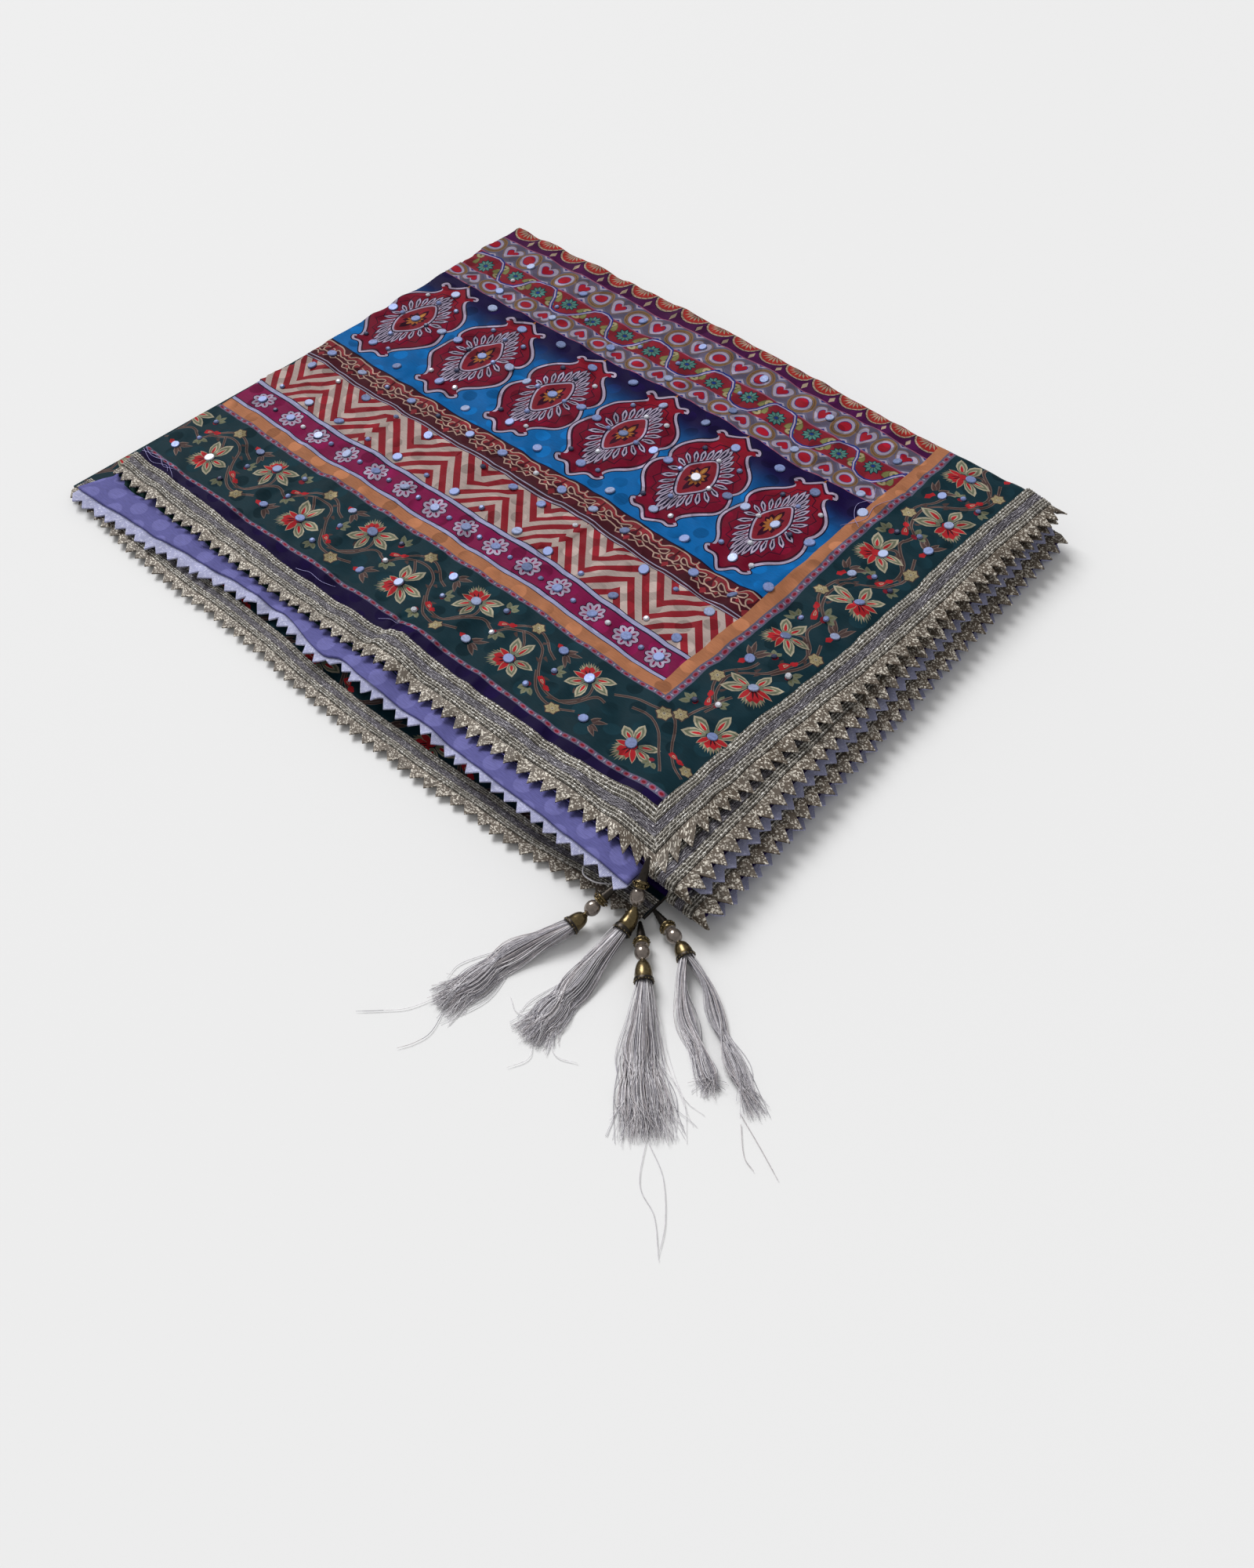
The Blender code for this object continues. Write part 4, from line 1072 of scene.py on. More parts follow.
# Metal, pearl or silk with small stains, in one colour or in the piece's own tints
def stainedMaterial(name, metal, rough, tinted=None, colour="#808080", coat=0.0):
    material, tree, shader = startMaterial(name, Metallic=metal, Coat_Weight=coat)
    place = addNode(tree, "TexCoord")
    stains = addNode(tree, "TexNoise", {"Vector": place.outputs["Object"], "Scale": 900.0,
                                        "Detail": 3.0})
    tone = rangeOf(tree, stains.outputs[0], 0.3, 0.7, 0.78, 1.12)
    if tinted:
        source = addNode(tree, "VertexColor", layer_name=tinted).outputs["Color"]
    else:
        source = dye(colour)
    gloss = rangeOf(tree, stains.outputs[0], 0.3, 0.7, rough * 0.8, rough * 1.25)
    feed(tree, shader, source, tone, gloss)
    return material


finishes = {
    "print": printedSatin(),
    "reverse": lavenderReverse(),
    # Each thread's third colour is its painted glint
    "cord": threadMaterial("zariCord", "#342f29", "#5f594f", "#ccc7bd"),
    "dots": threadMaterial("zariDots", "#8a847b", "#b9b4ab", "#fbf9f4", 0.0009),
    "braid": threadMaterial("zariBraid", "#605b61", "#8a868e", "#cfccd3", 0.0008),
    "tape": tapeMaterial(),
    "backing": threadMaterial("trimBacking", "#9a9cc0", "#adafce", "#c0c2dc", 0.0007, 0.0, 0.0,
                              0.85),
    # The mirrors' colour is painted reflection, from their tint
    "mirror": stainedMaterial("mirrorFoil", 0.25, 0.42, tinted="tint"),
    # The gold's colour is darkened to paint in the dark surroundings that its shine would reflect
    "gold": stainedMaterial("goldDarkenedAsReflection", 0.9, 0.24, colour="#6e6044"),
    "dark": stainedMaterial("darkCap", 0.9, 0.38, colour="#3a3531"),
    "pearl": stainedMaterial("goldPearl", 0.7, 0.2, colour="#857a72", coat=0.6),
    "silk": stainedMaterial("tasselSilk", 0.1, 0.4, tinted="tint"),
}
print("stage: finishes made")


def finish(obj, slotName, *nodes):
    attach(obj, "root")
    if nodes:
        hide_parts(*nodes)
    return obj


def setColours(mesh, name, colours, domain="CORNER"):
    layer = mesh.color_attributes.new(name=name, type="FLOAT_COLOR", domain=domain)
    full = np.ones((len(colours), 4))
    full[:, :3] = colours
    layer.data.foreach_set("color", full.ravel())


# A printed patch with its own thickness: the print above, its rim, and the reverse below
def printedPatch(name, shapes, box, grid, place, thickness, backGrid=4.0, backDye="#7f7cc2"):
    flat, faces, colours = cutAlongPrint(shapes, box, grid)
    bm = bmesh.new()
    verts = [bm.verts.new((x * mm, y * mm, 0.0)) for x, y in flat]
    for face in faces:
        bm.faces.new([verts[index] for index in face])
    bm.faces.ensure_lookup_table()
    if bm.faces[0].normal.z < 0:
        bmesh.ops.reverse_faces(bm, faces=bm.faces[:])
    rim = [edge for edge in bm.edges if edge.is_boundary]
    grown = bmesh.ops.extrude_edge_only(bm, edges=rim)["geom"]
    loop = [item for item in grown if isinstance(item, bmesh.types.BMVert)]
    hems = [item for item in grown if isinstance(item, bmesh.types.BMEdge)]
    for vert in loop:
        vert.co.z = -thickness
    bm.verts.index_update()
    slotOf = {vert: number for number, vert in enumerate(loop)}
    coords = [(vert.co.x / mm, vert.co.y / mm) for vert in loop]
    edges = [[slotOf[vert] for vert in edge.verts] for edge in hems]
    coords += gridOf(box, backGrid, 0)
    under, _, backFaces, origins, _, _ = delaunay_2d_cdt(coords, edges, [], 0, 0.0001, True)
    backVerts = [loop[origin[0]] if origin and origin[0] < len(loop)
                 else bm.verts.new((spot.x * mm, spot.y * mm, -thickness))
                 for spot, origin in zip(under, origins)]
    for face in backFaces:
        bm.faces.new([backVerts[index] for index in reversed(face)])
    mesh = meshFrom(bm, name)
    laid = layOn(mesh, place)
    reverse = np.tile(dye(backDye), (len(mesh.loops), 1))
    reverse[:len(faces) * 3] = colours.reshape(-1, 3)
    setColours(mesh, "print", reverse)
    mesh.shade_smooth()
    out = normalsOn(place, laid * (1, 1, 0))
    out[laid[:, 2] < -thickness / 2] *= -1
    mesh.normals_split_custom_set_from_vertices([tuple(row) for row in out])
    return newObject(name, mesh, finishes["print"])


def addWall(made, thickness):
    wall = made.modifiers.new("thickness", "SOLIDIFY")
    wall.thickness, wall.offset = thickness, -1.0


# A patch of cloth on a grid: spots gives its flat outline from shares across and along
def gridPatch(name, spots, columns, rows, place, thickness, material, colourAt=None):
    bm = bmesh.new()
    bmesh.ops.create_grid(bm, x_segments=columns, y_segments=rows, size=0.5)
    mesh = meshFrom(bm, name)
    x, y = spots(*(rowsOf(mesh)[0][:, :2].T + 0.5))
    mesh.vertices.foreach_set("co", np.stack([x, y, 0 * x], axis=1).ravel())
    laid = layOn(mesh, place)
    if colourAt:
        setColours(mesh, "print", colourAt(laid), "POINT")
    mesh.shade_smooth()
    made = newObject(name, mesh, material)
    addWall(made, thickness)
    return made


topBox = (-179.25, -135.4, 175.4, 145.59)
stoleTop = printedPatch("stoleTop", drawn, topBox, 3.0, onTop, pile["cloth"])
finish(stoleTop, "printed_satin", "printed_top_layer")
print("stage: printed top laid")

# The near edges of the layers under the top: x, reverse edge y, its z, bottom edge y
endEdges = {
    "x": (-0.178, -0.130, -0.092, -0.069, -0.040, -0.004, 0.004, 0.024, 0.056, 0.110, 0.174),
    "reverse": (-0.1512, -0.1478, -0.1442, -0.1412, -0.1408, -0.1462, -0.1432, -0.1452, -0.1448,
                -0.1468, -0.1480),
    "height": (0.0070, 0.0076, 0.0086, 0.0096, 0.0116, 0.0132, 0.0140, 0.0150, 0.0158, 0.0172,
               0.0178),
    "bottom": (-0.1530, -0.1572, -0.1580, -0.1572, -0.1575, -0.1594, -0.1597, -0.1600, -0.1590,
               -0.1565, -0.1500),
    "teeth": (0.0074, 0.0080, 0.0078, 0.0070, 0.0062, 0.0050, 0.0046, 0.0048, 0.0048, 0.0048,
              0.0048),
    "leftOut": 0.0034, "outStart": -0.150, "outRun": 0.028,
}


def endEdge(x, column):
    values = np.array(endEdges[column])
    spot = np.interp(x, endEdges["x"], np.arange(len(values)))
    start = np.minimum(spot.astype(int), len(values) - 2)
    return mix(values[start], values[start + 1], ease(spot - start))


reverseLook = {"past": 0.0004, "short": 0.006, "hung": 0.25, "far": 0.128, "hideRun": 0.006,
               "columns": 150, "rows": 64}


# An uneven wave, made of two that beat against each other
def beating(size, spot, fast, slow):
    return size * np.sin(spot * fast) * np.sin(spot * slow + 1)


# How far the reverse layer's left end stands out past the pile
def leftOut(x):
    return endEdges["leftOut"] * ease((endEdges["outStart"] - x) / endEdges["outRun"])


# The layer under the top, its lavender side up, drooping past the top's near edge
def onReverse(flat):
    x, y, near = flat[:, 0], flat[:, 1], pile["near"]
    z = pileHeight(np.clip(x, pile["left"], pile["right"]), np.maximum(y, near)) - pile["step"]
    edge = endEdge(x, "reverse")
    share = np.maximum(near - y, 0.0) / (near - edge)
    sag = np.maximum(z - endEdge(x, "height"), 0.0)
    puff = beating(0.0004, x, 310, 97) * np.minimum(share, 1.0)
    z = z - sag * share ** 1.5 + puff + flat[:, 2]
    z = z - pile["hiddenDrop"] * ease((y - near) / reverseLook["hideRun"])
    x = x - leftOut(x) * np.minimum(share, 1.0)
    return np.stack([x, y, z], axis=1)


def reverseSpots(across, along):
    look, hung = reverseLook, reverseLook["hung"]
    x = mix(pile["left"] - look["past"], pile["right"] - look["short"], across)
    out = mix(endEdge(x, "reverse"), pile["near"], np.minimum(along / hung, 1.0))
    inner = mix(pile["near"], look["far"], (along - hung) / (1 - hung))
    return x, np.where(along < hung, out, inner)


reverseSheet = gridPatch("reverseSheet", reverseSpots, reverseLook["columns"],
                         reverseLook["rows"], onReverse, pile["cloth"], finishes["reverse"])
finish(reverseSheet, "lavender_reverse", "reverse_layer")

# The lowest panel lies on the surface; its near border shows past the layers above
bottom = {"left": -0.1885, "right": 0.1815, "rightFar": 0.174, "far": 0.135, "thick": 0.0024,
          "printTop": -100.0, "shift": 27.0, "trimRun": 0.3672}


def onBottom(flat):
    x = mix(bottom["left"], bottom["right"], (flat[:, 0] - pile["left"]) / 0.356)
    out = endEdge(x, "bottom") - pile["near"]
    share = (flat[:, 1] - pile["near"]) / (bottom["far"] - pile["near"])
    x = x - (bottom["right"] - bottom["rightFar"]) * share * (x > 0) * (x / 0.18)
    y = flat[:, 1] + out * (1.0 - share)
    return np.stack([x, y, bottom["thick"] + flat[:, 2]], axis=1)


def bottomShapes():
    box = (-178.0, -137.0, 178.0, bottom["printTop"])
    kept = [(np.array(bar(-178, -137, 178, 135)), "teal", None, 0.0, 1.0)]
    for points, *look in drawn:
        points = points - (0.0, bottom["shift"])
        if points[:, 1].min() < bottom["printTop"] and points[:, 1].max() > -137:
            inside = np.array(trimmed(points, box))
            if len(inside) > 2:
                kept.append((inside, *look))
    return kept


bottomPanel = printedPatch("bottomPanel", bottomShapes(), (-178, -137, 178, 135), 9.0, onBottom,
                           bottom["thick"], 24.0, "#57514a")
finish(bottomPanel, "printed_satin", "bottom_layer")
print("stage: lower layers laid")

# The folds of the hidden layers, one above the other round the pile's sides
core = {
    "right": 0.166, "near": -0.136, "foot": 0.0027, "tuck": 0.0032, "tuckStart": 0.0008,
    "footRows": 1.5 / 16, "corner": 0.0035, "leftFolds": 8, "nearRolls": 3, "farRolls": 4,
    "leftDepth": 0.0009, "rollDepth": 0.0016, "leftSpread": 0.006, "farSpread": 0.002,
    "rows": 88, "spacing": 0.004, "seed": 5,
}


def buildFoldedEdges():
    left, far = pile["left"] + pile["edgeFold"], pile["far"] - pile["crossFold"]
    lines = [(left, far), (left, core["near"]), (core["right"], core["near"]),
             (core["right"], far)]
    walls = ("left", "near", "right", "far")
    ring, sides = [], []
    for number, wall in enumerate(walls):
        start, end = lines[number], lines[(number + 1) % 4]
        count = round(math.dist(start, end) / core["spacing"])
        for step in range(count):
            ring.append([mix(start[axis], end[axis], step / count) for axis in (0, 1)])
            sides.append({wall, walls[number - 1]} if step == 0 else {wall})
    ring = np.array(ring)
    bm = bmesh.new()
    lid = bm.faces.new([bm.verts.new((x, y, 0.0)) for x, y in ring])
    lid.normal_flip()
    rows = core["rows"]
    edges = lid.edges[:]
    for row in range(rows):
        grown = bmesh.ops.extrude_edge_only(bm, edges=edges)["geom"]
        edges = [item for item in grown if isinstance(item, bmesh.types.BMEdge)]
        for item in grown:
            if isinstance(item, bmesh.types.BMVert):
                item.co.z = -(row + 1) / rows
    bmesh.ops.contextual_create(bm, geom=edges)
    keys = {(round(x, 6), round(y, 6)): number for number, (x, y) in enumerate(ring)}
    dice = np.random.default_rng(core["seed"])
    drift = np.cumsum(dice.normal(0, 0.010, len(ring)))
    drift -= np.linspace(0, drift[-1], len(ring))
    heights = pileHeight(ring[:, 0], ring[:, 1]) - 2.0 * pile["step"]
    for vert in bm.verts:
        number = keys[(round(vert.co.x, 6), round(vert.co.y, 6))]
        vert.co = corePoint(vert.co.x, vert.co.y, -vert.co.z, heights[number], sides[number],
                            drift[number])
    bmesh.ops.recalc_face_normals(bm, faces=bm.faces[:])
    return meshFrom(bm, "foldedEdges")


# How far a rounded fold stands out at a depth, from 0 in the grooves to 1 at its middle
def bulge(count, depth):
    return abs(math.sin(math.pi * count * depth)) ** 0.55


def corePoint(x, y, depth, height, sides, drift):
    turned = depth + drift * math.sin(math.pi * depth)
    tuck = ease((depth * (height - core["foot"]) - core["tuckStart"]) / core["tuck"])
    tuck = tuck * ease((1.0 - depth) / core["footRows"])
    if len(sides) == 2:
        x += core["corner"] if "left" in sides else 0.0
        y += core["corner"] / 2.0 if "near" in sides else -core["corner"]
    if "left" in sides:
        x -= (pile["edgeFold"] + core["leftSpread"] * depth) * tuck
        x -= core["leftDepth"] * bulge(core["leftFolds"], turned)
    if "near" in sides:
        y += core["rollDepth"] * (1.0 - bulge(core["nearRolls"], turned))
    if "far" in sides:
        y += (core["tuck"] + core["farSpread"] * depth) * tuck
        y -= core["rollDepth"] * (1.0 - bulge(core["farRolls"], turned))
    return (x, y, mix(height, core["foot"], depth))


def colourEdges(mesh):
    shades = [dye(code) for code in ("#173431", "#7f7cc2", "#1a3c33", "#7775ba", "#123a38",
                                     "#8684c8", "#2a1a52", "#7a78bd")]
    spots, corners = rowsOf(mesh)
    tops = pileHeight(spots[:, 0], spots[:, 1]) - 2.0 * pile["step"]
    depth = np.clip((tops - spots[:, 2]) / (tops - core["foot"]), 0, 0.999)
    setColours(mesh, "print", np.array(shades)[(depth * len(shades)).astype(int)], "POINT")
    uv = mesh.uv_layers.new(name="cloth")
    along = np.stack([spots[:, 0] + spots[:, 1], spots[:, 2] * 3], axis=1)
    uv.data.foreach_set("uv", along[corners].ravel())
    mesh.shade_smooth()


edgeMesh = buildFoldedEdges()
colourEdges(edgeMesh)
foldedEdges = newObject("foldedEdges", edgeMesh, finishes["print"])
finish(foldedEdges, "printed_satin", "folded_core")
print("stage: folded edges made")

# The two rolls: the open long edges of the layers, turned under at the near end
rolls = {
    "upper": {"radius": 0.0021, "nearZ": 0.0158, "farZ": 0.0124, "nearEdge": 0.1935,
              "farEdge": 0.1780, "backing": (0.0012, -0.0006), "cloth": "#1d0b3a"},
    "lower": {"radius": 0.0021, "nearZ": 0.0079, "farZ": 0.0050, "nearEdge": 0.2024,
              "farEdge": 0.1850, "backing": (-0.0008, -0.0028), "cloth": "#1d0b40"},
}
rollNear, rollFar, rollLeft = -0.1382, 0.135, 0.1663
rollLook = {"outer": 0.0020, "inner": 0.034, "columns": 10, "rows": 260, "thick": 0.0009}


def rollPart(roll, key, y):
    return mix(roll["near" + key], roll["far" + key], (y - rollNear) / (rollFar - rollNear))


# Coordinates for a roll: x across, y along its section from the far end of its top, round
# the fold at the near end and back under it
def onRoll(roll):
    def place(flat):
        radius = roll["radius"] + flat[:, 2]
        straight = rollFar - rollNear - roll["radius"]
        turn = np.clip((flat[:, 1] - straight) / roll["radius"], 0, math.pi)
        past = np.maximum(flat[:, 1] - straight - math.pi * roll["radius"], 0.0)
        start = rollFar - np.minimum(flat[:, 1], straight)
        y = np.where(flat[:, 1] < straight, start,
                     rollNear + roll["radius"] - radius * np.sin(turn) + past)
        z = rollPart(roll, "Z", y) + radius * np.cos(turn)
        wave = 0.0005 * np.sin(y * 120 + flat[:, 0] * 40) * np.sin(y * 47 + 2)
        x = rollPart(roll, "Edge", y) - flat[:, 0]
        return np.stack([np.maximum(x, rollLeft), y, z + wave * np.cos(turn) ** 2], axis=1)
    return place


def buildRoll(name):
    roll, look = rolls[name], rollLook
    run = 2 * (rollFar - rollNear) + (math.pi - 2) * roll["radius"]

    def spots(across, along):
        return mix(look["outer"], look["inner"], across), mix(0.0, run, along)

    def colourAt(laid):
        return np.tile(dye(roll["cloth"]), (len(laid), 1))

    made = gridPatch(name + "Roll", spots, look["columns"], look["rows"], onRoll(roll),
                     look["thick"], finishes["print"], colourAt)
    return finish(made, "printed_satin", name + "_roll")


upperRoll, lowerRoll = buildRoll("upper"), buildRoll("lower")
print("stage: rolls made")

# A trim's parts across its width, in mm from its inner edge: place, height, radius, finish
trimLook = {
    "width": 0.0195, "pitch": 0.0073, "depth": 0.0038, "toothDepth": 0.0052,
    "toothColumns": 6, "stops": (0.0035, 0.0072, 0.0095, 0.0117), "tapeLift": 0.0008,
    "thick": 0.0006, "sharp": 50,
    "nearX": (-0.178, -0.120, -0.040, 0.003, 0.014, 0.050, 0.100, 0.150),
    "nearSqueeze": (0.85, 0.86, 0.79, 0.85, 0.98, 0.97, 1.00, 1.06),
    "sideOut": 0.0028, "sideStretch": 1.13, "bottomSqueeze": 0.78, "seed": 3,
    "cords": [
        (0.28, 0.95, 0.22, "cord", 0.9, 0.10), (0.86, 1.08, 0.36, "dots", 1.1, 0.50),
        (1.42, 1.00, 0.22, "cord", 0.9, 0.10), (1.98, 1.08, 0.36, "dots", 1.0, 0.46),
        (2.54, 1.00, 0.22, "cord", 0.9, 0.12), (3.14, 1.05, 0.30, "dots", 0.9, 0.30),
        (3.72, 0.95, 0.22, "cord", 0.9, 0.10), (7.50, 1.00, 0.22, "cord", 0.9, 0.12),
        (8.08, 1.10, 0.36, "dots", 1.1, 0.50), (8.66, 1.00, 0.22, "cord", 0.9, 0.14),
        (9.24, 1.08, 0.30, "dots", 0.9, 0.40), (9.82, 1.00, 0.22, "cord", 0.9, 0.14),
        (10.40, 1.10, 0.36, "dots", 1.1, 0.48), (11.00, 1.00, 0.24, "cord", 0.9, 0.10),
    ],
    "filaments": 7, "filamentZone": (4.1, 7.2), "filamentRadius": 0.17,
}


# The tape under a trim's cords, its outer edge cut in teeth
def tapeMesh(name, length, inner, place, toothDepth=trimLook["toothDepth"]):
    look = trimLook
    teeth = max(round(length / look["pitch"]), 1)
    perTooth, stops = look["toothColumns"], [inner, *look["stops"], 1.0]
    columns, stops = teeth * perTooth, [stop for stop in stops if stop >= inner]
    bm = bmesh.new()
    bmesh.ops.create_grid(bm, x_segments=columns, y_segments=len(stops) - 1, size=0.5)
    dice = random.Random(look["seed"])
    tips = [dice.uniform(-0.0006, 0.0003) for _ in range(teeth + 1)]
    lean = [dice.uniform(-0.0007, 0.0007) for _ in range(teeth + 1)]
    curl = [dice.uniform(-0.0004, 0.0002) for _ in range(teeth + 1)]
    for vert in bm.verts:
        column = round((vert.co.x + 0.5) * columns)
        row = round((vert.co.y + 0.5) * (len(stops) - 1))
        tooth = min(column // perTooth, teeth - 1)
        inTooth = column / perTooth - tooth
        point = 1.0 - abs(2.0 * inTooth - 1.0)
        x, y, z = column / columns * length, stops[row], look["tapeLift"]
        if row == len(stops) - 1:
            y = look["width"] - toothDepth * (1.0 - point) + tips[tooth] * point
            x += lean[tooth] * point
            z += curl[tooth] * point
        vert.co = (x, y, z)
    mesh = meshFrom(bm, name)
    layOn(mesh, place)
    mesh.shade_smooth()
    return mesh


def newCurve(name):
    curve = bpy.data.curves.new(name, "CURVE")
    curve.dimensions, curve.bevel_depth, curve.bevel_resolution = "3D", 1.0, 0
    curve.use_fill_caps = True
    return curve


# Cords along a trim: straight ones, dotted ones, and a braid of filaments that wander
def cordCurve(name, length, inner, dense):
    look, dice = trimLook, random.Random(trimLook["seed"])
    curve = newCurve(name)
    order = ["cord", "dots", "braid", "backing"]
    for kind in order:
        curve.materials.append(finishes[kind])

    def run(points, kind):
        spline = curve.splines.new("POLY")
        spline.points.add(len(points) - 1)
        for point, (x, y, z, radius) in zip(spline.points, points):
            point.co, point.radius = (x, y, z, 1.0), radius
        spline.material_index = order.index(kind)
        spline.use_smooth = True

    for across, height, radius, kind, step, swing in look["cords"]:
        if across * mm < inner:
            continue
        count = round(length / (step * mm / dense))
        points = []
        for number in range(count + 1):
            wide = radius * (1.0 + (swing if number % 2 else -swing))
            points.append((length * number / count, across * mm + dice.gauss(0, 0.00003),
                           height * mm, wide * mm))
        run(points, kind)
    low, high = look["filamentZone"]
    for number in range(look["filaments"]):
        across = mix(low, high, (number + 0.5) / look["filaments"])
        swings = [(dice.uniform(4.0, 14.0), dice.uniform(0, 6.28), dice.uniform(0.07, 0.19))
                  for _ in range(3)]
        if across * mm < inner:
            continue
        points, count = [], round(length / (1.1 * mm))
        for step in range(count + 1):
            along = length * step / count
            sway = sum(size * math.sin(along / mm * 6.28 / pitch + start)
                       for pitch, start, size in swings)
            wide = look["filamentRadius"] * (1.0 + 0.2 * math.sin(along / mm * 2.6 + number))
            points.append((along, (across + sway) * mm,
                           (0.98 + 0.2 * math.sin(along / mm * 0.9 + number * 2)) * mm,
                           wide * mm))
        run(points, "braid")
    return curve


# The mesh that a curve makes, or another mesh with a wall of its own
def builtMesh(data, thickness=0.0):
    held = newObject("held", data)
    if thickness:
        addWall(held, thickness)
    made = bpy.data.meshes.new_from_object(held.evaluated_get(
        bpy.context.evaluated_depsgraph_get()))
    bpy.data.objects.remove(held)
    if thickness:
        made.set_sharp_from_angle(angle=math.radians(trimLook["sharp"]))
    return made


def joined(name, meshes, finishOrder):
    bm = bmesh.new()
    for mesh, kinds in meshes:
        before = len(bm.faces)
        bm.from_mesh(mesh)
        bm.faces.ensure_lookup_table()
        for face in bm.faces[before:]:
            face.material_index = finishOrder.index(kinds[face.material_index])
    return newObject(name, meshFrom(bm, name), *(finishes[kind] for kind in finishOrder))


def buildTrim(name, length, place, node, slotName="zari_trim", inner=0.0, dense=1.0):
    tape = builtMesh(tapeMesh(name + "Tape", length, inner, place), trimLook["thick"])
    cords = builtMesh(cordCurve(name + "Cords", length, inner, dense))
    layOn(cords, place)
    cords.shade_smooth()
    made = joined(name, [(tape, ["tape"]), (cords, ["cord", "dots", "braid", "backing"])],
                  ["tape", "cord", "dots", "braid", "backing"])
    return finish(made, slotName, node)


mitre = 0.042


def onEndTrim(flat):
    look, across = trimLook, trimLook["width"] - flat[:, 1]
    x = pile["left"] - 0.0012 + flat[:, 0]
    inward = across * np.interp(x, look["nearX"], look["nearSqueeze"])
    x = x - across * look["sideStretch"] * ease((x - pile["right"] + mitre) / mitre)
    return onTop(np.stack([x, pile["near"] + inward, flat[:, 2]], axis=1))


def onSideTrim(flat):
    look, across = trimLook, trimLook["width"] - flat[:, 1]
    y = pile["near"] + flat[:, 0]
    y = y + across * look["nearSqueeze"][-1] * ease((pile["near"] + mitre - y) / mitre)
    x = pile["right"] + look["sideOut"] - across * look["sideStretch"]
    return onTop(np.stack([x, y, flat[:, 2]], axis=1))


def onBottomTrim(flat):
    x = bottom["left"] + bottom["thick"] + flat[:, 0]
    inward = (trimLook["width"] - flat[:, 1]) * trimLook["bottomSqueeze"]
    y = endEdge(x, "bottom") - trimLook["depth"] + inward
    wave = beating(0.0003, x, 150, 61)
    return np.stack([x, y, bottom["thick"] + np.abs(wave) + flat[:, 2] - 0.0003], axis=1)


# The back of the reverse layer's trim, sewn under its cloth: only its pale teeth show
def onReverseTrim(flat):
    x = pile["left"] + flat[:, 0]
    start, edge = core["near"] - 0.0006, endEdge(x, "reverse")
    y = np.minimum(edge - endEdge(x, "teeth") + trimLook["width"] - flat[:, 1], start)
    rows = np.zeros((len(x), 3))
    rows[:, 0], rows[:, 1] = x, np.maximum(y, edge)
    z = onReverse(rows)[:, 2] - pile["step"] - 0.0008
    rows[:, 1] = edge + 0.002
    slope = (onReverse(rows)[:, 2] - onReverse(rows - (0, 0.002, 0))[:, 2]) / 0.002
    x = x - leftOut(x)
    return np.stack([x, y, z - slope * np.maximum(edge - y, 0.0) + flat[:, 2]], axis=1)


def onRollTrim(roll):
    place = onRoll(roll)

    def put(flat):
        across = (trimLook["width"] - flat[:, 1]) * 1.12 - trimLook["depth"]
        return place(np.stack([across, flat[:, 0], flat[:, 2]], axis=1))
    return put


backingLook = {"start": 0.0075, "short": 0.0076, "inner": 0.0035, "thick": 0.0007,
               "reverseRun": 0.3516}


def onRollBacking(roll):
    def put(flat):
        y = rollNear + backingLook["start"] + flat[:, 0]
        reach = mix(*roll["backing"], (y - rollNear) / (rollFar - rollNear))
        x = rollPart(roll, "Edge", y) + reach + trimLook["depth"]
        x = x - trimLook["width"] + flat[:, 1]
        z = rollPart(roll, "Z", y) - roll["radius"] - 0.0018
        z = z + beating(0.0006, y, 190, 71)
        return np.stack([np.maximum(x, rollLeft), y, z + flat[:, 2]], axis=1)
    return put


sideRun = pile["far"] - pile["crossFold"] * (1 - math.pi / 2) - pile["near"]
bend = rolls["upper"]["radius"]
rollRun = rollFar - rollNear - bend + math.pi * bend
endRun = pile["right"] + trimLook["sideOut"] - pile["left"] + 0.0016
endTrim = buildTrim("endTrim", endRun, onEndTrim, "end_trim_top")
sideTrim = buildTrim("sideTrim", sideRun, onSideTrim, "side_trim_top")
bottomTrim = buildTrim("bottomTrim", bottom["trimRun"], onBottomTrim, "end_trim_bottom")
upperTrim = buildTrim("upperTrim", rollRun, onRollTrim(rolls["upper"]), "upper_roll_trim")
lowerTrim = buildTrim("lowerTrim", rollRun, onRollTrim(rolls["lower"]), "lower_roll_trim")
print("stage: trims made")


def buildBacking(name, length, place, node):
    look = backingLook
    tape = tapeMesh(name, length, look["inner"], place, trimLook["depth"])
    tape = builtMesh(tape, look["thick"])
    made = newObject(name, tape, finishes["backing"])
    return finish(made, "trim_backing", node)


reverseTrim = buildBacking("reverseTrim", backingLook["reverseRun"], onReverseTrim,
                           "end_trim_reverse")
backingRun = rollFar - rollNear - backingLook["short"]
upperBacking = buildBacking("upperBacking", backingRun, onRollBacking(rolls["upper"]),
                            "upper_roll_backing")
lowerBacking = buildBacking("lowerBacking", backingRun, onRollBacking(rolls["lower"]),
                            "lower_roll_backing")
print("stage: backings made")

# Small mirrors and beads sewn on the top, in mm: x, y, size and tone; each tone is a painted
# reflection, pale for a bright one and dark for a dark one
paintedReflectionTones = {"blue": "#7484b4", "grey": "#8e9abc", "night": "#2c3352", "white": "#c6c8d2",
               "slate": "#66749c"}
mirrorLook = {
    "seed": 17, "tilt": 0.06, "uneven": (0.94, 1.06), "lift": 0.00008, "beadsUnder": 3.5,
    "area": (-176, 157, -116, 137),
    "mirror": {"form": (12, 0.16, 0.05),
               "tones": {"blue": 9, "grey": 5, "slate": 4, "white": 0.25}},
    "bead": {"form": (9, 0.4, 0.18), "tones": {"blue": 4, "slate": 4, "night": 2, "white": 3}},
}


# Places read off a drawing of the top, four of its marks to a millimetre
def onPlan(px, py):
    return px / 4 - 198, 157.06 - py / 4


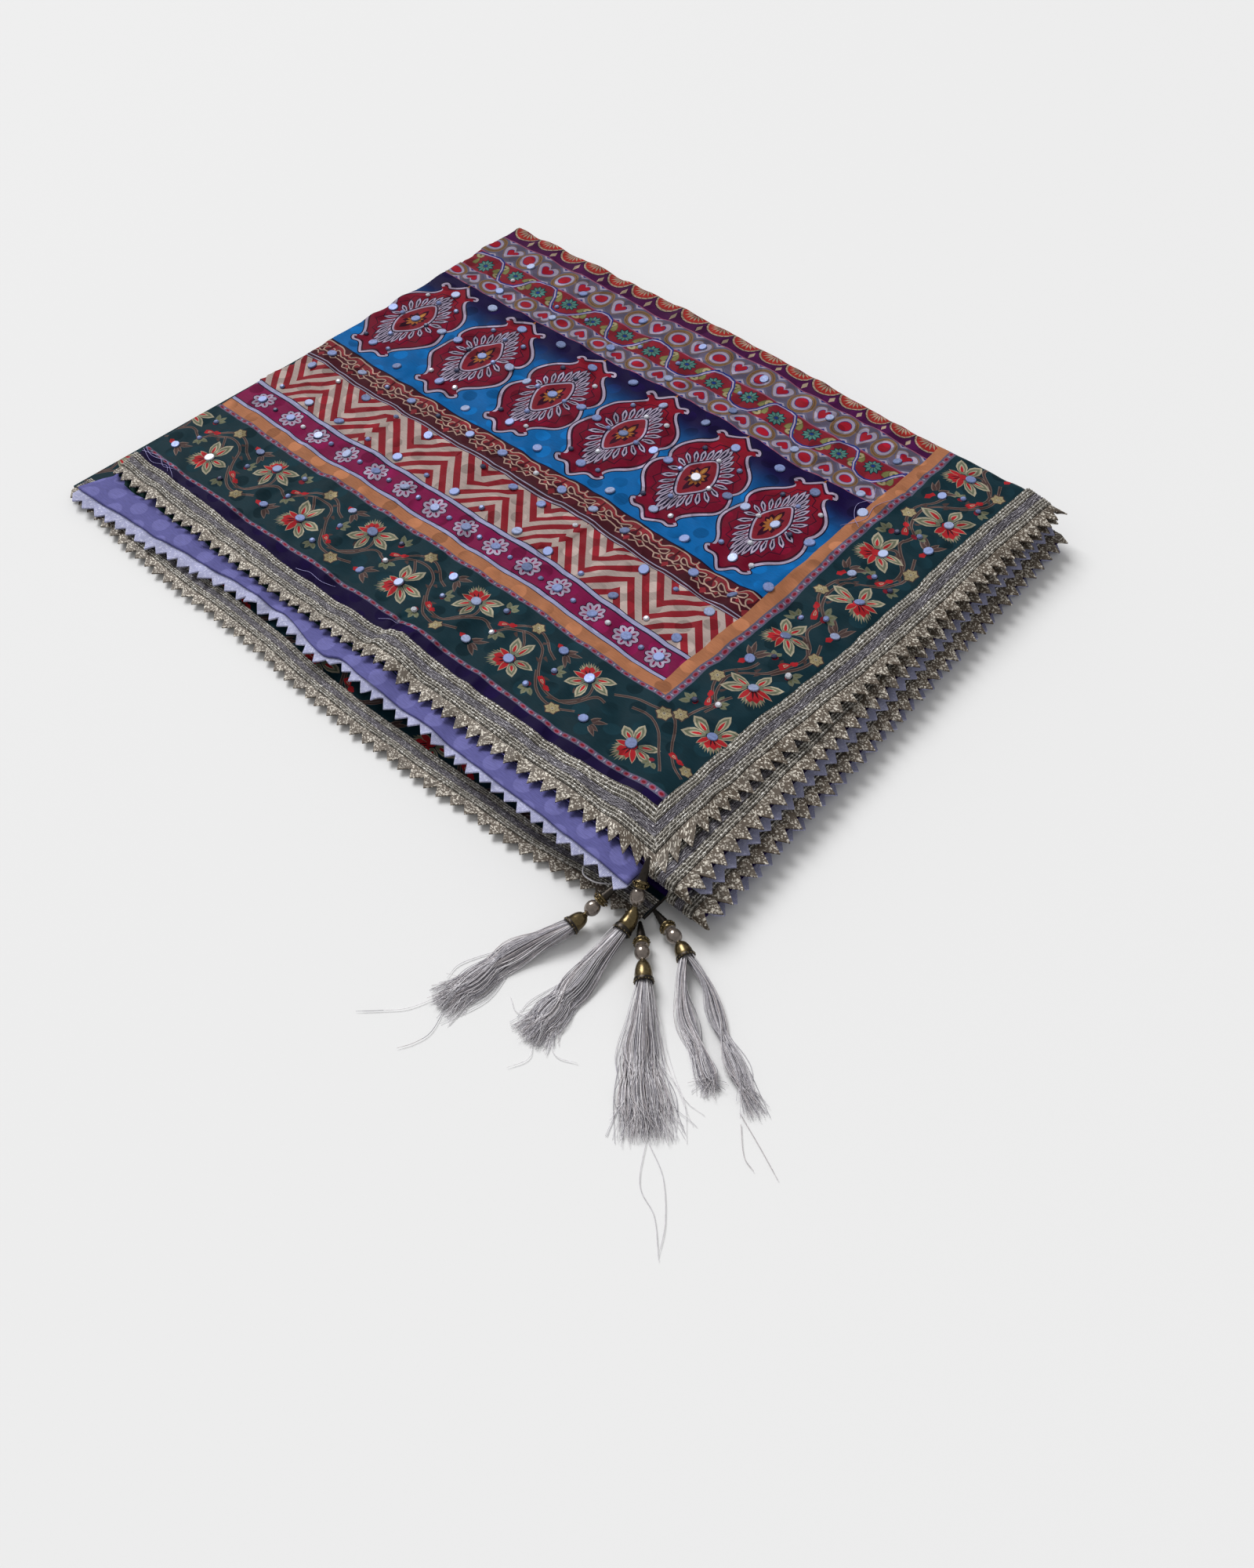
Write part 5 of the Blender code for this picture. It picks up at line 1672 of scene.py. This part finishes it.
def mirrorSpots():
    spots, waist = [], medallion["y"]
    for x in medallion["xs"]:
        for dx, dy in ((0, 28.7), (0, 0), (-18, 0), (19, 1), (0, -29.5)):
            spots.append((x + dx, waist + dy, 5.0))
        for dx, dy in ((-11, 18.7), (11.7, 18.2), (0, 16.5), (-9.2, -1), (9.2, -1), (0, -17.7),
                       (-10.5, -25.5), (9.2, -27.5)):
            spots.append((x + dx, waist + dy, 2.7))
        for dy in (32.5, -35):
            spots.append((x + 24.6, waist + dy, 5.0))
    rows = [
        ((222, 165), (380, 165), (543, 155), (698, 143), (862, 143), (1037, 150), (1213, 165)),
        ((233, 271), (393, 272), (558, 270), (715, 267), (880, 260), (1045, 268), (1218, 285)),
    ]
    for row in rows:
        spots += [(*onPlan(*mark), 4.6) for mark in row]
    for mark in ((231, 229), (369, 234), (450, 227), (697, 218), (855, 210), (600, 226)):
        spots.append((*onPlan(*mark), 2.6))
    spots += [(*onPlan(px, 70), 3.0) for px in range(100, 1400, 70)]
    zigzags = [
        (652, (131, 225, -302, 375, -454, 545, 635, -727, 795, 878, 960, 1130, 1220)),
        (706, (133, -215, 300, -390, 485, -638, 720, 795, -885, 1060, -1137, 1215)),
        (790, (-140, 225, 317, -403, 490, -572, 650, -725, 818, 900, -985, 1065, -1145, 1215)),
    ]
    for py, row in zigzags:
        spots += [(*onPlan(abs(px), py), 2.7 if px < 0 else 4.8) for px in row]
    spots += [(x, daisyY, 4.8) for x in daisyXs]
    spots += [(mix(x, after, 0.5), -54.6, 2.6) for x, after in zip(daisyXs, daisyXs[1:])]
    for start in repeats["along"]:
        spots += [(start + dx, -92.25 + dy, size) for dx, dy, size in floralSpots]
    for start in repeats["up"]:
        spots += [(144.1 - dy * 0.72, start + dx, size) for dx, dy, size in floralSpots]
    spots += [(131.8, -101.6, 4.8), (152.6, -73.8, 4.8)]
    west, east, near, far = mirrorLook["area"]
    return [spot for spot in spots if west < spot[0] < east and near < spot[1] < far]


floralSpots = [(-13, -6.8, 4.8), (20.6, 8.2, 4.8), (1.6, 12.4, 4.4), (34.6, -11.4, 4.4),
               (-33.4, 12.6, 2.7), (-29.6, -0.4, 2.7), (6.6, 1.0, 2.7), (3.4, -13.0, 2.7)]


# A low disc with a bevelled rim, a mirror's or a faceted bead's form
def spangleForm(sides, high, rim):
    bm = bmesh.new()
    bmesh.ops.create_cone(bm, cap_ends=True, segments=sides, radius1=0.5, radius2=0.5,
                          depth=high)
    edges = [edge for edge in bm.edges if all(vert.co.z > 0 for vert in edge.verts)]
    bmesh.ops.bevel(bm, geom=edges, offset=rim, offset_type="OFFSET", affect="EDGES",
                    segments=1, profile=0.5, material=-1)
    bmesh.ops.translate(bm, verts=bm.verts[:], vec=(0, 0, high / 2))
    return meshFrom(bm, "spangle")


def buildMirrors():
    look, dice = mirrorLook, random.Random(mirrorLook["seed"])
    forms = {kind: spangleForm(*look[kind]["form"]) for kind in ("mirror", "bead")}
    spots = mirrorSpots()
    flat = np.array([(x * mm, y * mm, 0.0) for x, y, _ in spots])
    centres, ups = onTop(flat), normalsOn(onTop, flat)
    bm, tints = bmesh.new(), []
    for (x, y, size), centre, up in zip(spots, centres, ups):
        kind = "mirror" if size > look["beadsUnder"] else "bead"
        before, started = len(bm.verts), len(bm.faces)
        bm.from_mesh(forms[kind])
        bm.verts.ensure_lookup_table()
        tilt = Vector(up) + Vector([dice.gauss(0, look["tilt"]) for _ in range(3)])
        turn = tilt.to_track_quat("Z", "Y").to_matrix() @ Matrix.Rotation(
            dice.uniform(0, 6.28), 3, "Z")
        wide = size * dice.uniform(*look["uneven"]) * mm
        for vert in bm.verts[before:]:
            vert.co = turn @ (vert.co * wide) + Vector(centre) + Vector(up) * look["lift"]
        # Each mirror or bead takes one painted reflection tone, chosen at random
        tones = look[kind]["tones"]
        tone = dice.choices(list(tones), list(tones.values()))[0]
        tints += [dye(paintedReflectionTones[tone])] * (len(bm.faces) - started)
    mesh = meshFrom(bm, "mirrors")
    perCorner = [tints[face.index] for face in mesh.polygons for _ in face.loop_indices]
    setColours(mesh, "tint", np.array(perCorner))
    return finish(newObject("mirrors", mesh, finishes["mirror"]), "antique_gold")


mirrors = buildMirrors()
print("stage: mirrors sewn")

# Every tassel: its cone's tip, the cap, the silk's start, middle and end, widths and split
tassels = [
    {"tip": (0.1700, -0.1478, 0.0142), "cap": (0.1664, -0.1640, 0.0060),
     "base": (0.1652, -0.1710, 0.0048), "middle": (0.1568, -0.1930), "end": (0.1525, -0.2260),
     "wide": (0.0105, 0.0140), "split": 0.0, "slot": 1,
     "strays": [((150, -221), (145, -233), (139, -240), (132, -247)),
                ((154, -223), (158, -234), (157, -241), (154, -247))],
     "loop": ((168, -146, 9), (162, -142, 10), (155, -142, 9), (151, -146, 8), (153, -151, 7),
              (159, -151, 7), (165, -148, 8))},
    {"tip": (0.1746, -0.1375, 0.0239), "cap": (0.1800, -0.1530, 0.0066),
     "base": (0.1809, -0.1600, 0.0048), "middle": (0.1832, -0.1870), "end": (0.1855, -0.2140),
     "wide": (0.0105, 0.0150), "split": 0.0, "slot": 2,
     "strays": [((186, -211), (191, -218), (188, -226)), ((182, -204), (175, -208), (168, -205)),
                ((188, -206), (197, -211), (205, -208))], "loop": ()},
    {"tip": (0.1820, -0.1505, 0.0024), "cap": (0.1968, -0.1650, 0.0052),
     "base": (0.2020, -0.1702, 0.0048), "middle": (0.2190, -0.1910), "end": (0.2430, -0.2130),
     "wide": (0.0150, 0.0250), "split": 0.0, "slot": 3,
     "strays": [((241, -211), (251, -226), (262, -231), (273, -241)),
                ((243, -213), (255, -219), (266, -230), (272, -240))], "loop": ()},
    {"tip": (0.1823, -0.1430, 0.0026), "cap": (0.2005, -0.1492, 0.0052),
     "base": (0.2065, -0.1520, 0.0048), "middle": (0.2270, -0.1665), "end": (0.2610, -0.1860),
     "wide": (0.0082, 0.0124), "split": 0.0044, "slot": 4,
     "strays": [((259, -184), (272, -189), (284, -194)), ((262, -187), (270, -195), (276, -197))],
     "loop": ()},
]
floorGap = 0.0003
beadLook = {"coneTip": 0.0006, "cone": 0.0019, "coneLong": 0.008, "ring": 0.0030,
            "ringWide": 0.0009, "pearl": 0.0030, "link": 0.0007, "bell": 0.0036, "sides": 20}


# The turned profile of a tassel's beads: distance along, radius and finish
def beadProfile(length):
    look = beadLook
    rows = [(0.0, look["coneTip"], "dark")]
    for step in range(1, 13):
        share = step / 12
        ridge = 0.00012 if step % 2 else -0.00008
        rows.append((look["coneLong"] * share,
                     mix(look["coneTip"], look["cone"], share ** 0.8) + ridge, "dark"))
    down = look["coneLong"]
    for radius, long in ((look["ring"], 0.0010), (look["ring"] * 0.72, 0.0006),
                         (look["ring"], 0.0010)):
        rows += [(down + long * 0.15, radius * 0.8, "gold"), (down + long * 0.5, radius, "gold"),
                 (down + long * 0.85, radius * 0.8, "gold")]
        down += long
    rest = length - down
    pearl = min(look["pearl"], rest * 0.42)
    middle = down + pearl * 0.92
    for step in range(1, 10):
        turn = math.pi * step / 10
        rows.append((middle - pearl * math.cos(turn), pearl * math.sin(turn), "pearl"))
    down = middle + pearl
    rows += [(down, look["link"] * 1.6, "gold")]
    bell = max(length - down, 0.0034)
    for share, wide in ((0.04, 0.34), (0.10, 0.56), (0.20, 0.72), (0.34, 0.84), (0.54, 0.92),
                        (0.74, 0.95), (0.80, 1.04), (0.92, 1.04), (1.0, 0.98)):
        rows.append((down + bell * share, look["bell"] * wide, "dark" if share > 0.8 else "gold"))
    rows.append((down + bell * 0.94, look["bell"] * 0.82, "dark"))
    rows.append((down + bell * 0.80, 0.0, "dark"))
    return rows


def buildBeads(tassel):
    tip, cap, base = (Vector(tassel[key]) for key in ("tip", "cap", "base"))
    length = (base - tip).length
    rows = [(0.0, 0.0, "dark")] + beadProfile(length)
    kinds = ["dark", "gold", "pearl"]
    bm = bmesh.new()
    verts = [bm.verts.new((radius, 0.0, down)) for down, radius, _ in rows]
    edges = [bm.edges.new(pair) for pair in zip(verts, verts[1:])]
    bmesh.ops.spin(bm, geom=verts + edges, cent=(0, 0, 0), axis=(0, 0, 1), angle=2 * math.pi,
                   steps=beadLook["sides"], use_merge=True, use_duplicate=False)
    bmesh.ops.remove_doubles(bm, verts=bm.verts[:], dist=0.00001)
    downs = [down for down, _, _ in rows]
    for face in bm.faces:
        spot = face.calc_center_median()
        reach = math.hypot(spot.x, spot.y)
        row = min(range(len(rows) - 1), key=lambda index: abs(
            (rows[index][0] + rows[index + 1][0]) / 2 - spot.z) + abs(
            (rows[index][1] + rows[index + 1][1]) / 2 - reach))
        face.material_index = kinds.index(rows[row + 1][2])
        face.smooth = True
    studs(bm, length, kinds)
    bmesh.ops.recalc_face_normals(bm, faces=bm.faces[:])
    line = spineOf([tip, tip + (cap - tip) * 0.5 + Vector((0, 0, 0.0004)), cap, base])
    total = len(line) - 1
    for vert in bm.verts:
        share = min(max(vert.co.z / length, 0.0), 1.0) * total
        start = min(int(share), total - 1)
        here = line[start].lerp(line[start + 1], share - start)
        ahead = (line[start + 1] - line[start]).normalized()
        side = ahead.cross(Vector((0, 0, 1))).normalized()
        vert.co = here + side * vert.co.x + side.cross(ahead) * vert.co.y
    for vert in bm.verts:
        vert.co.z = max(vert.co.z, floorGap)
    mesh = meshFrom(bm, "beads")
    made = newObject(f"beads{tassel['slot']}", mesh, *(finishes[kind] for kind in kinds))
    return finish(made, "antique_gold", f"tassel_{tassel['slot']}_beads")


# Tiny round beads in a row round the ringed bead and round the bell's rim
def studs(bm, length, kinds):
    look = beadLook
    for down, radius, count, size in ((look["coneLong"] + 0.0013, look["ring"], 14, 0.00042),
                                      (length - 0.0008, look["bell"], 18, 0.00040)):
        for number in range(count):
            turn = 2 * math.pi * number / count
            before = len(bm.faces)
            made = bmesh.ops.create_icosphere(bm, subdivisions=1, radius=size)
            for vert in made["verts"]:
                vert.co += Vector((radius * math.cos(turn), radius * math.sin(turn), down))
            bm.faces.ensure_lookup_table()
            for face in bm.faces[before:]:
                face.material_index = kinds.index("gold")
                face.smooth = True


# A smooth line through a few points
def spineOf(points, steps=8):
    full = [points[0] * 2 - points[1]] + list(points) + [points[-1] * 2 - points[-2]]
    return [curveSpot(*four, step / steps) for four in zip(full, full[1:], full[2:], full[3:])
            for step in range(steps)] + [points[-1]]


silkLook = {"strands": 300, "radius": 0.00012, "neck": 0.0027, "deep": 0.0050, "high": 0.0052,
            "steps": 5, "spread": 0.42, "reach": (0.80, 1.02), "curl": 0.0011,
            "flyaways": 0.16, "strayWide": 1.25, "strayFlare": (1.3, 1.7),
            "strayReach": (0.7, 1.08), "splitShort": 0.30, "loopRadius": 0.00035,
            "tones": ("#bcb9c0", "#d3d0d4", "#ece9ec", "#98959d", "#c4bdbf")}


def addStrand(curve, line, radius):
    spline = curve.splines.new("POLY")
    spline.points.add(len(line) - 1)
    for number, (point, spot) in enumerate(zip(spline.points, line)):
        point.co = (spot.x, spot.y, max(spot.z, floorGap), 1.0)
        point.radius = radius * (1.0 if number < len(line) - 3 else 0.6)
    spline.use_smooth = True


def buildSilk(tassel):
    dice = random.Random(40 + tassel["slot"])
    look, base = silkLook, Vector(tassel["base"])
    middle, end = (Vector((*tassel[key], 0.0)) for key in ("middle", "end"))
    ahead = (end - base).to_2d().normalized()
    side = Vector((-ahead.y, ahead.x, 0.0))
    curve = newCurve("silk")
    for strand in range(look["strands"]):
        across = max(min(dice.gauss(0, look["spread"]), 1.0), -1.0)
        level = dice.random()
        stray = dice.random() < look["flyaways"]
        neck = base + side * across * look["neck"] + Vector((0, 0, (level - 0.5) * look["deep"]))
        wide = [across * width / 2 for width in tassel["wide"]]
        if stray:
            wide = [wide[0] * look["strayWide"], wide[1] * dice.uniform(*look["strayFlare"])]
        gap = tassel["split"] * (1 if across > 0 else -1)
        reach = dice.uniform(*look["strayReach" if stray else "reach"])
        if gap < 0:
            reach -= look["splitShort"]
        tops = [0.0006 + level * look["high"] * (1 - abs(across)) * fall for fall in (1.0, 0.62)]
        curl = dice.gauss(0, look["curl"])
        points = [base.lerp(neck, 0.3), neck,
                  neck.lerp(middle + side * wide[0], 0.5) + side * (curl * 0.4 + gap * 0.80),
                  middle + side * (wide[0] + curl + gap * 0.85) + Vector((0, 0, tops[0])),
                  middle.lerp(end, 0.5) + side * (mix(wide[0], wide[1], 0.5) + gap * 0.7 - curl)
                  + Vector((0, 0, mix(tops[0], tops[1], 0.5))),
                  middle.lerp(end, reach) + side * (wide[1] + gap * 0.8 + curl * 1.6)
                  + Vector((0, 0, tops[1] * dice.uniform(0.3, 1.0)))]
        points[2].z = mix(neck.z, tops[0], 0.55) + 0.0008
        addStrand(curve, spineOf(points, look["steps"]), look["radius"])
    for stray in tassel["strays"]:
        points = [Vector((x * mm, y * mm, 0.0007)) for x, y in stray]
        addStrand(curve, spineOf(points, 10), look["radius"])
    if tassel["loop"]:
        loop = [Vector(point) * mm for point in tassel["loop"]]
        addStrand(curve, spineOf(loop, 8), look["loopRadius"])
    mesh = builtMesh(curve)
    tones = [dye(code) for code in look["tones"]]
    perStrand = len(mesh.polygons) // look["strands"]
    tints = np.array([tones[dice.randrange(len(tones))] for _ in range(look["strands"] + 1)])
    owner = np.repeat(np.arange(len(mesh.polygons)) // perStrand,
                      [face.loop_total for face in mesh.polygons])
    setColours(mesh, "tint", tints[np.minimum(owner, look["strands"])])
    mesh.shade_smooth()
    mesh.materials.clear()
    made = newObject(f"silk{tassel['slot']}", mesh, finishes["silk"])
    return finish(made, "tassel_silk", f"tassel_{tassel['slot']}_silk")


# Loose threads that lie on the top, in mm
looseLines = [
    ((-178, -113), (-170, -117), (-160, -114), (-152, -119), (-148, -122)),
    ((-176, -119), (-166, -114), (-158, -119), (-150, -116)),
    ((-177, -116), (-168, -121), (-158, -117), (-153, -121)),
    ((-54, -122), (-46, -120), (-38, -121), (-30, -118)), ((0, -119), (5, -116), (9, -115)),
    ((109, 94), (113, 86), (110, 78), (115, 70), (120, 66)),
    ((121, 92), (117, 82), (119, 72), (113, 62)),
]
looseRadius = 0.00013


def buildLooseThreads():
    curve = newCurve("loose")
    for line in looseLines:
        flat = np.array([tuple(spot) for spot in spineOf(
            [Vector((x * mm, y * mm, 0.0003)) for x, y in line], 8)])
        laid = [Vector(spot) for spot in onTop(flat)]
        addStrand(curve, laid, looseRadius)
    mesh = builtMesh(curve)
    setColours(mesh, "tint", np.tile(dye("#9a94c8"), (len(mesh.loops), 1)))
    mesh.shade_smooth()
    made = newObject("looseThreads", mesh, finishes["silk"])
    return finish(made, "tassel_silk")


looseThreads = buildLooseThreads()
beads = [buildBeads(tassel) for tassel in tassels]
silks = [buildSilk(tassel) for tassel in tassels]
print("stage: tassels hung")


def buildFloor():
    bm = bmesh.new()
    bmesh.ops.create_grid(bm, x_segments=1, y_segments=1, size=4.0)
    material, _, shader = startMaterial("floorPaper", Roughness=0.85)
    shader.inputs["Base Color"].default_value = (0.80, 0.80, 0.80, 1)
    floor = newObject("floor", meshFrom(bm, "floor"), material)
    return floor


light = {"energy": 2.55, "spread": 30, "from": (-0.85, 0.22, 1.0), "sky": 0.44}


def buildLight():
    sun = bpy.data.lights.new("key", "SUN")
    sun.energy, sun.angle = light["energy"], math.radians(light["spread"])
    held = newObject("key", sun)
    held.rotation_euler = Vector(light["from"]).to_track_quat("Z", "Y").to_euler()
    world = bpy.data.worlds.new("room")
    world.use_nodes = True
    sky = world.node_tree.nodes["Background"].inputs
    sky["Color"].default_value, sky["Strength"].default_value = (1, 1, 1, 1), light["sky"]
    bpy.context.scene.world = world


# The photo's view: the way the camera looks, its place and its lens
view = {"yaw": 133.1596, "pitch": 51.1218, "roll": 0.4308, "lens": 33.802,
        "place": (0.38752353, -0.37620062, 0.46325685)}


def buildCamera():
    yaw, pitch, roll = (math.radians(view[key]) for key in ("yaw", "pitch", "roll"))
    ahead = Vector((math.cos(yaw) * math.cos(pitch), math.sin(yaw) * math.cos(pitch),
                    -math.sin(pitch)))
    right = Vector((math.sin(yaw), -math.cos(yaw), 0.0))
    down = ahead.cross(right)
    turnedRight = right * math.cos(roll) + down * math.sin(roll)
    turnedDown = down * math.cos(roll) - right * math.sin(roll)
    lens = bpy.data.cameras.new("photoView")
    lens.lens, lens.sensor_width, lens.clip_start = view["lens"], 36.0, 0.01
    held = newObject("photoView", lens)
    axes = Matrix((turnedRight, -turnedDown, -ahead)).transposed()
    held.matrix_world = Matrix.Translation(view["place"]) @ axes.to_4x4()
    bpy.context.scene.camera = held


buildFloor()
buildLight()
buildCamera()
bpy.context.scene.view_settings.view_transform = "Standard"
print("stage: scene ready")
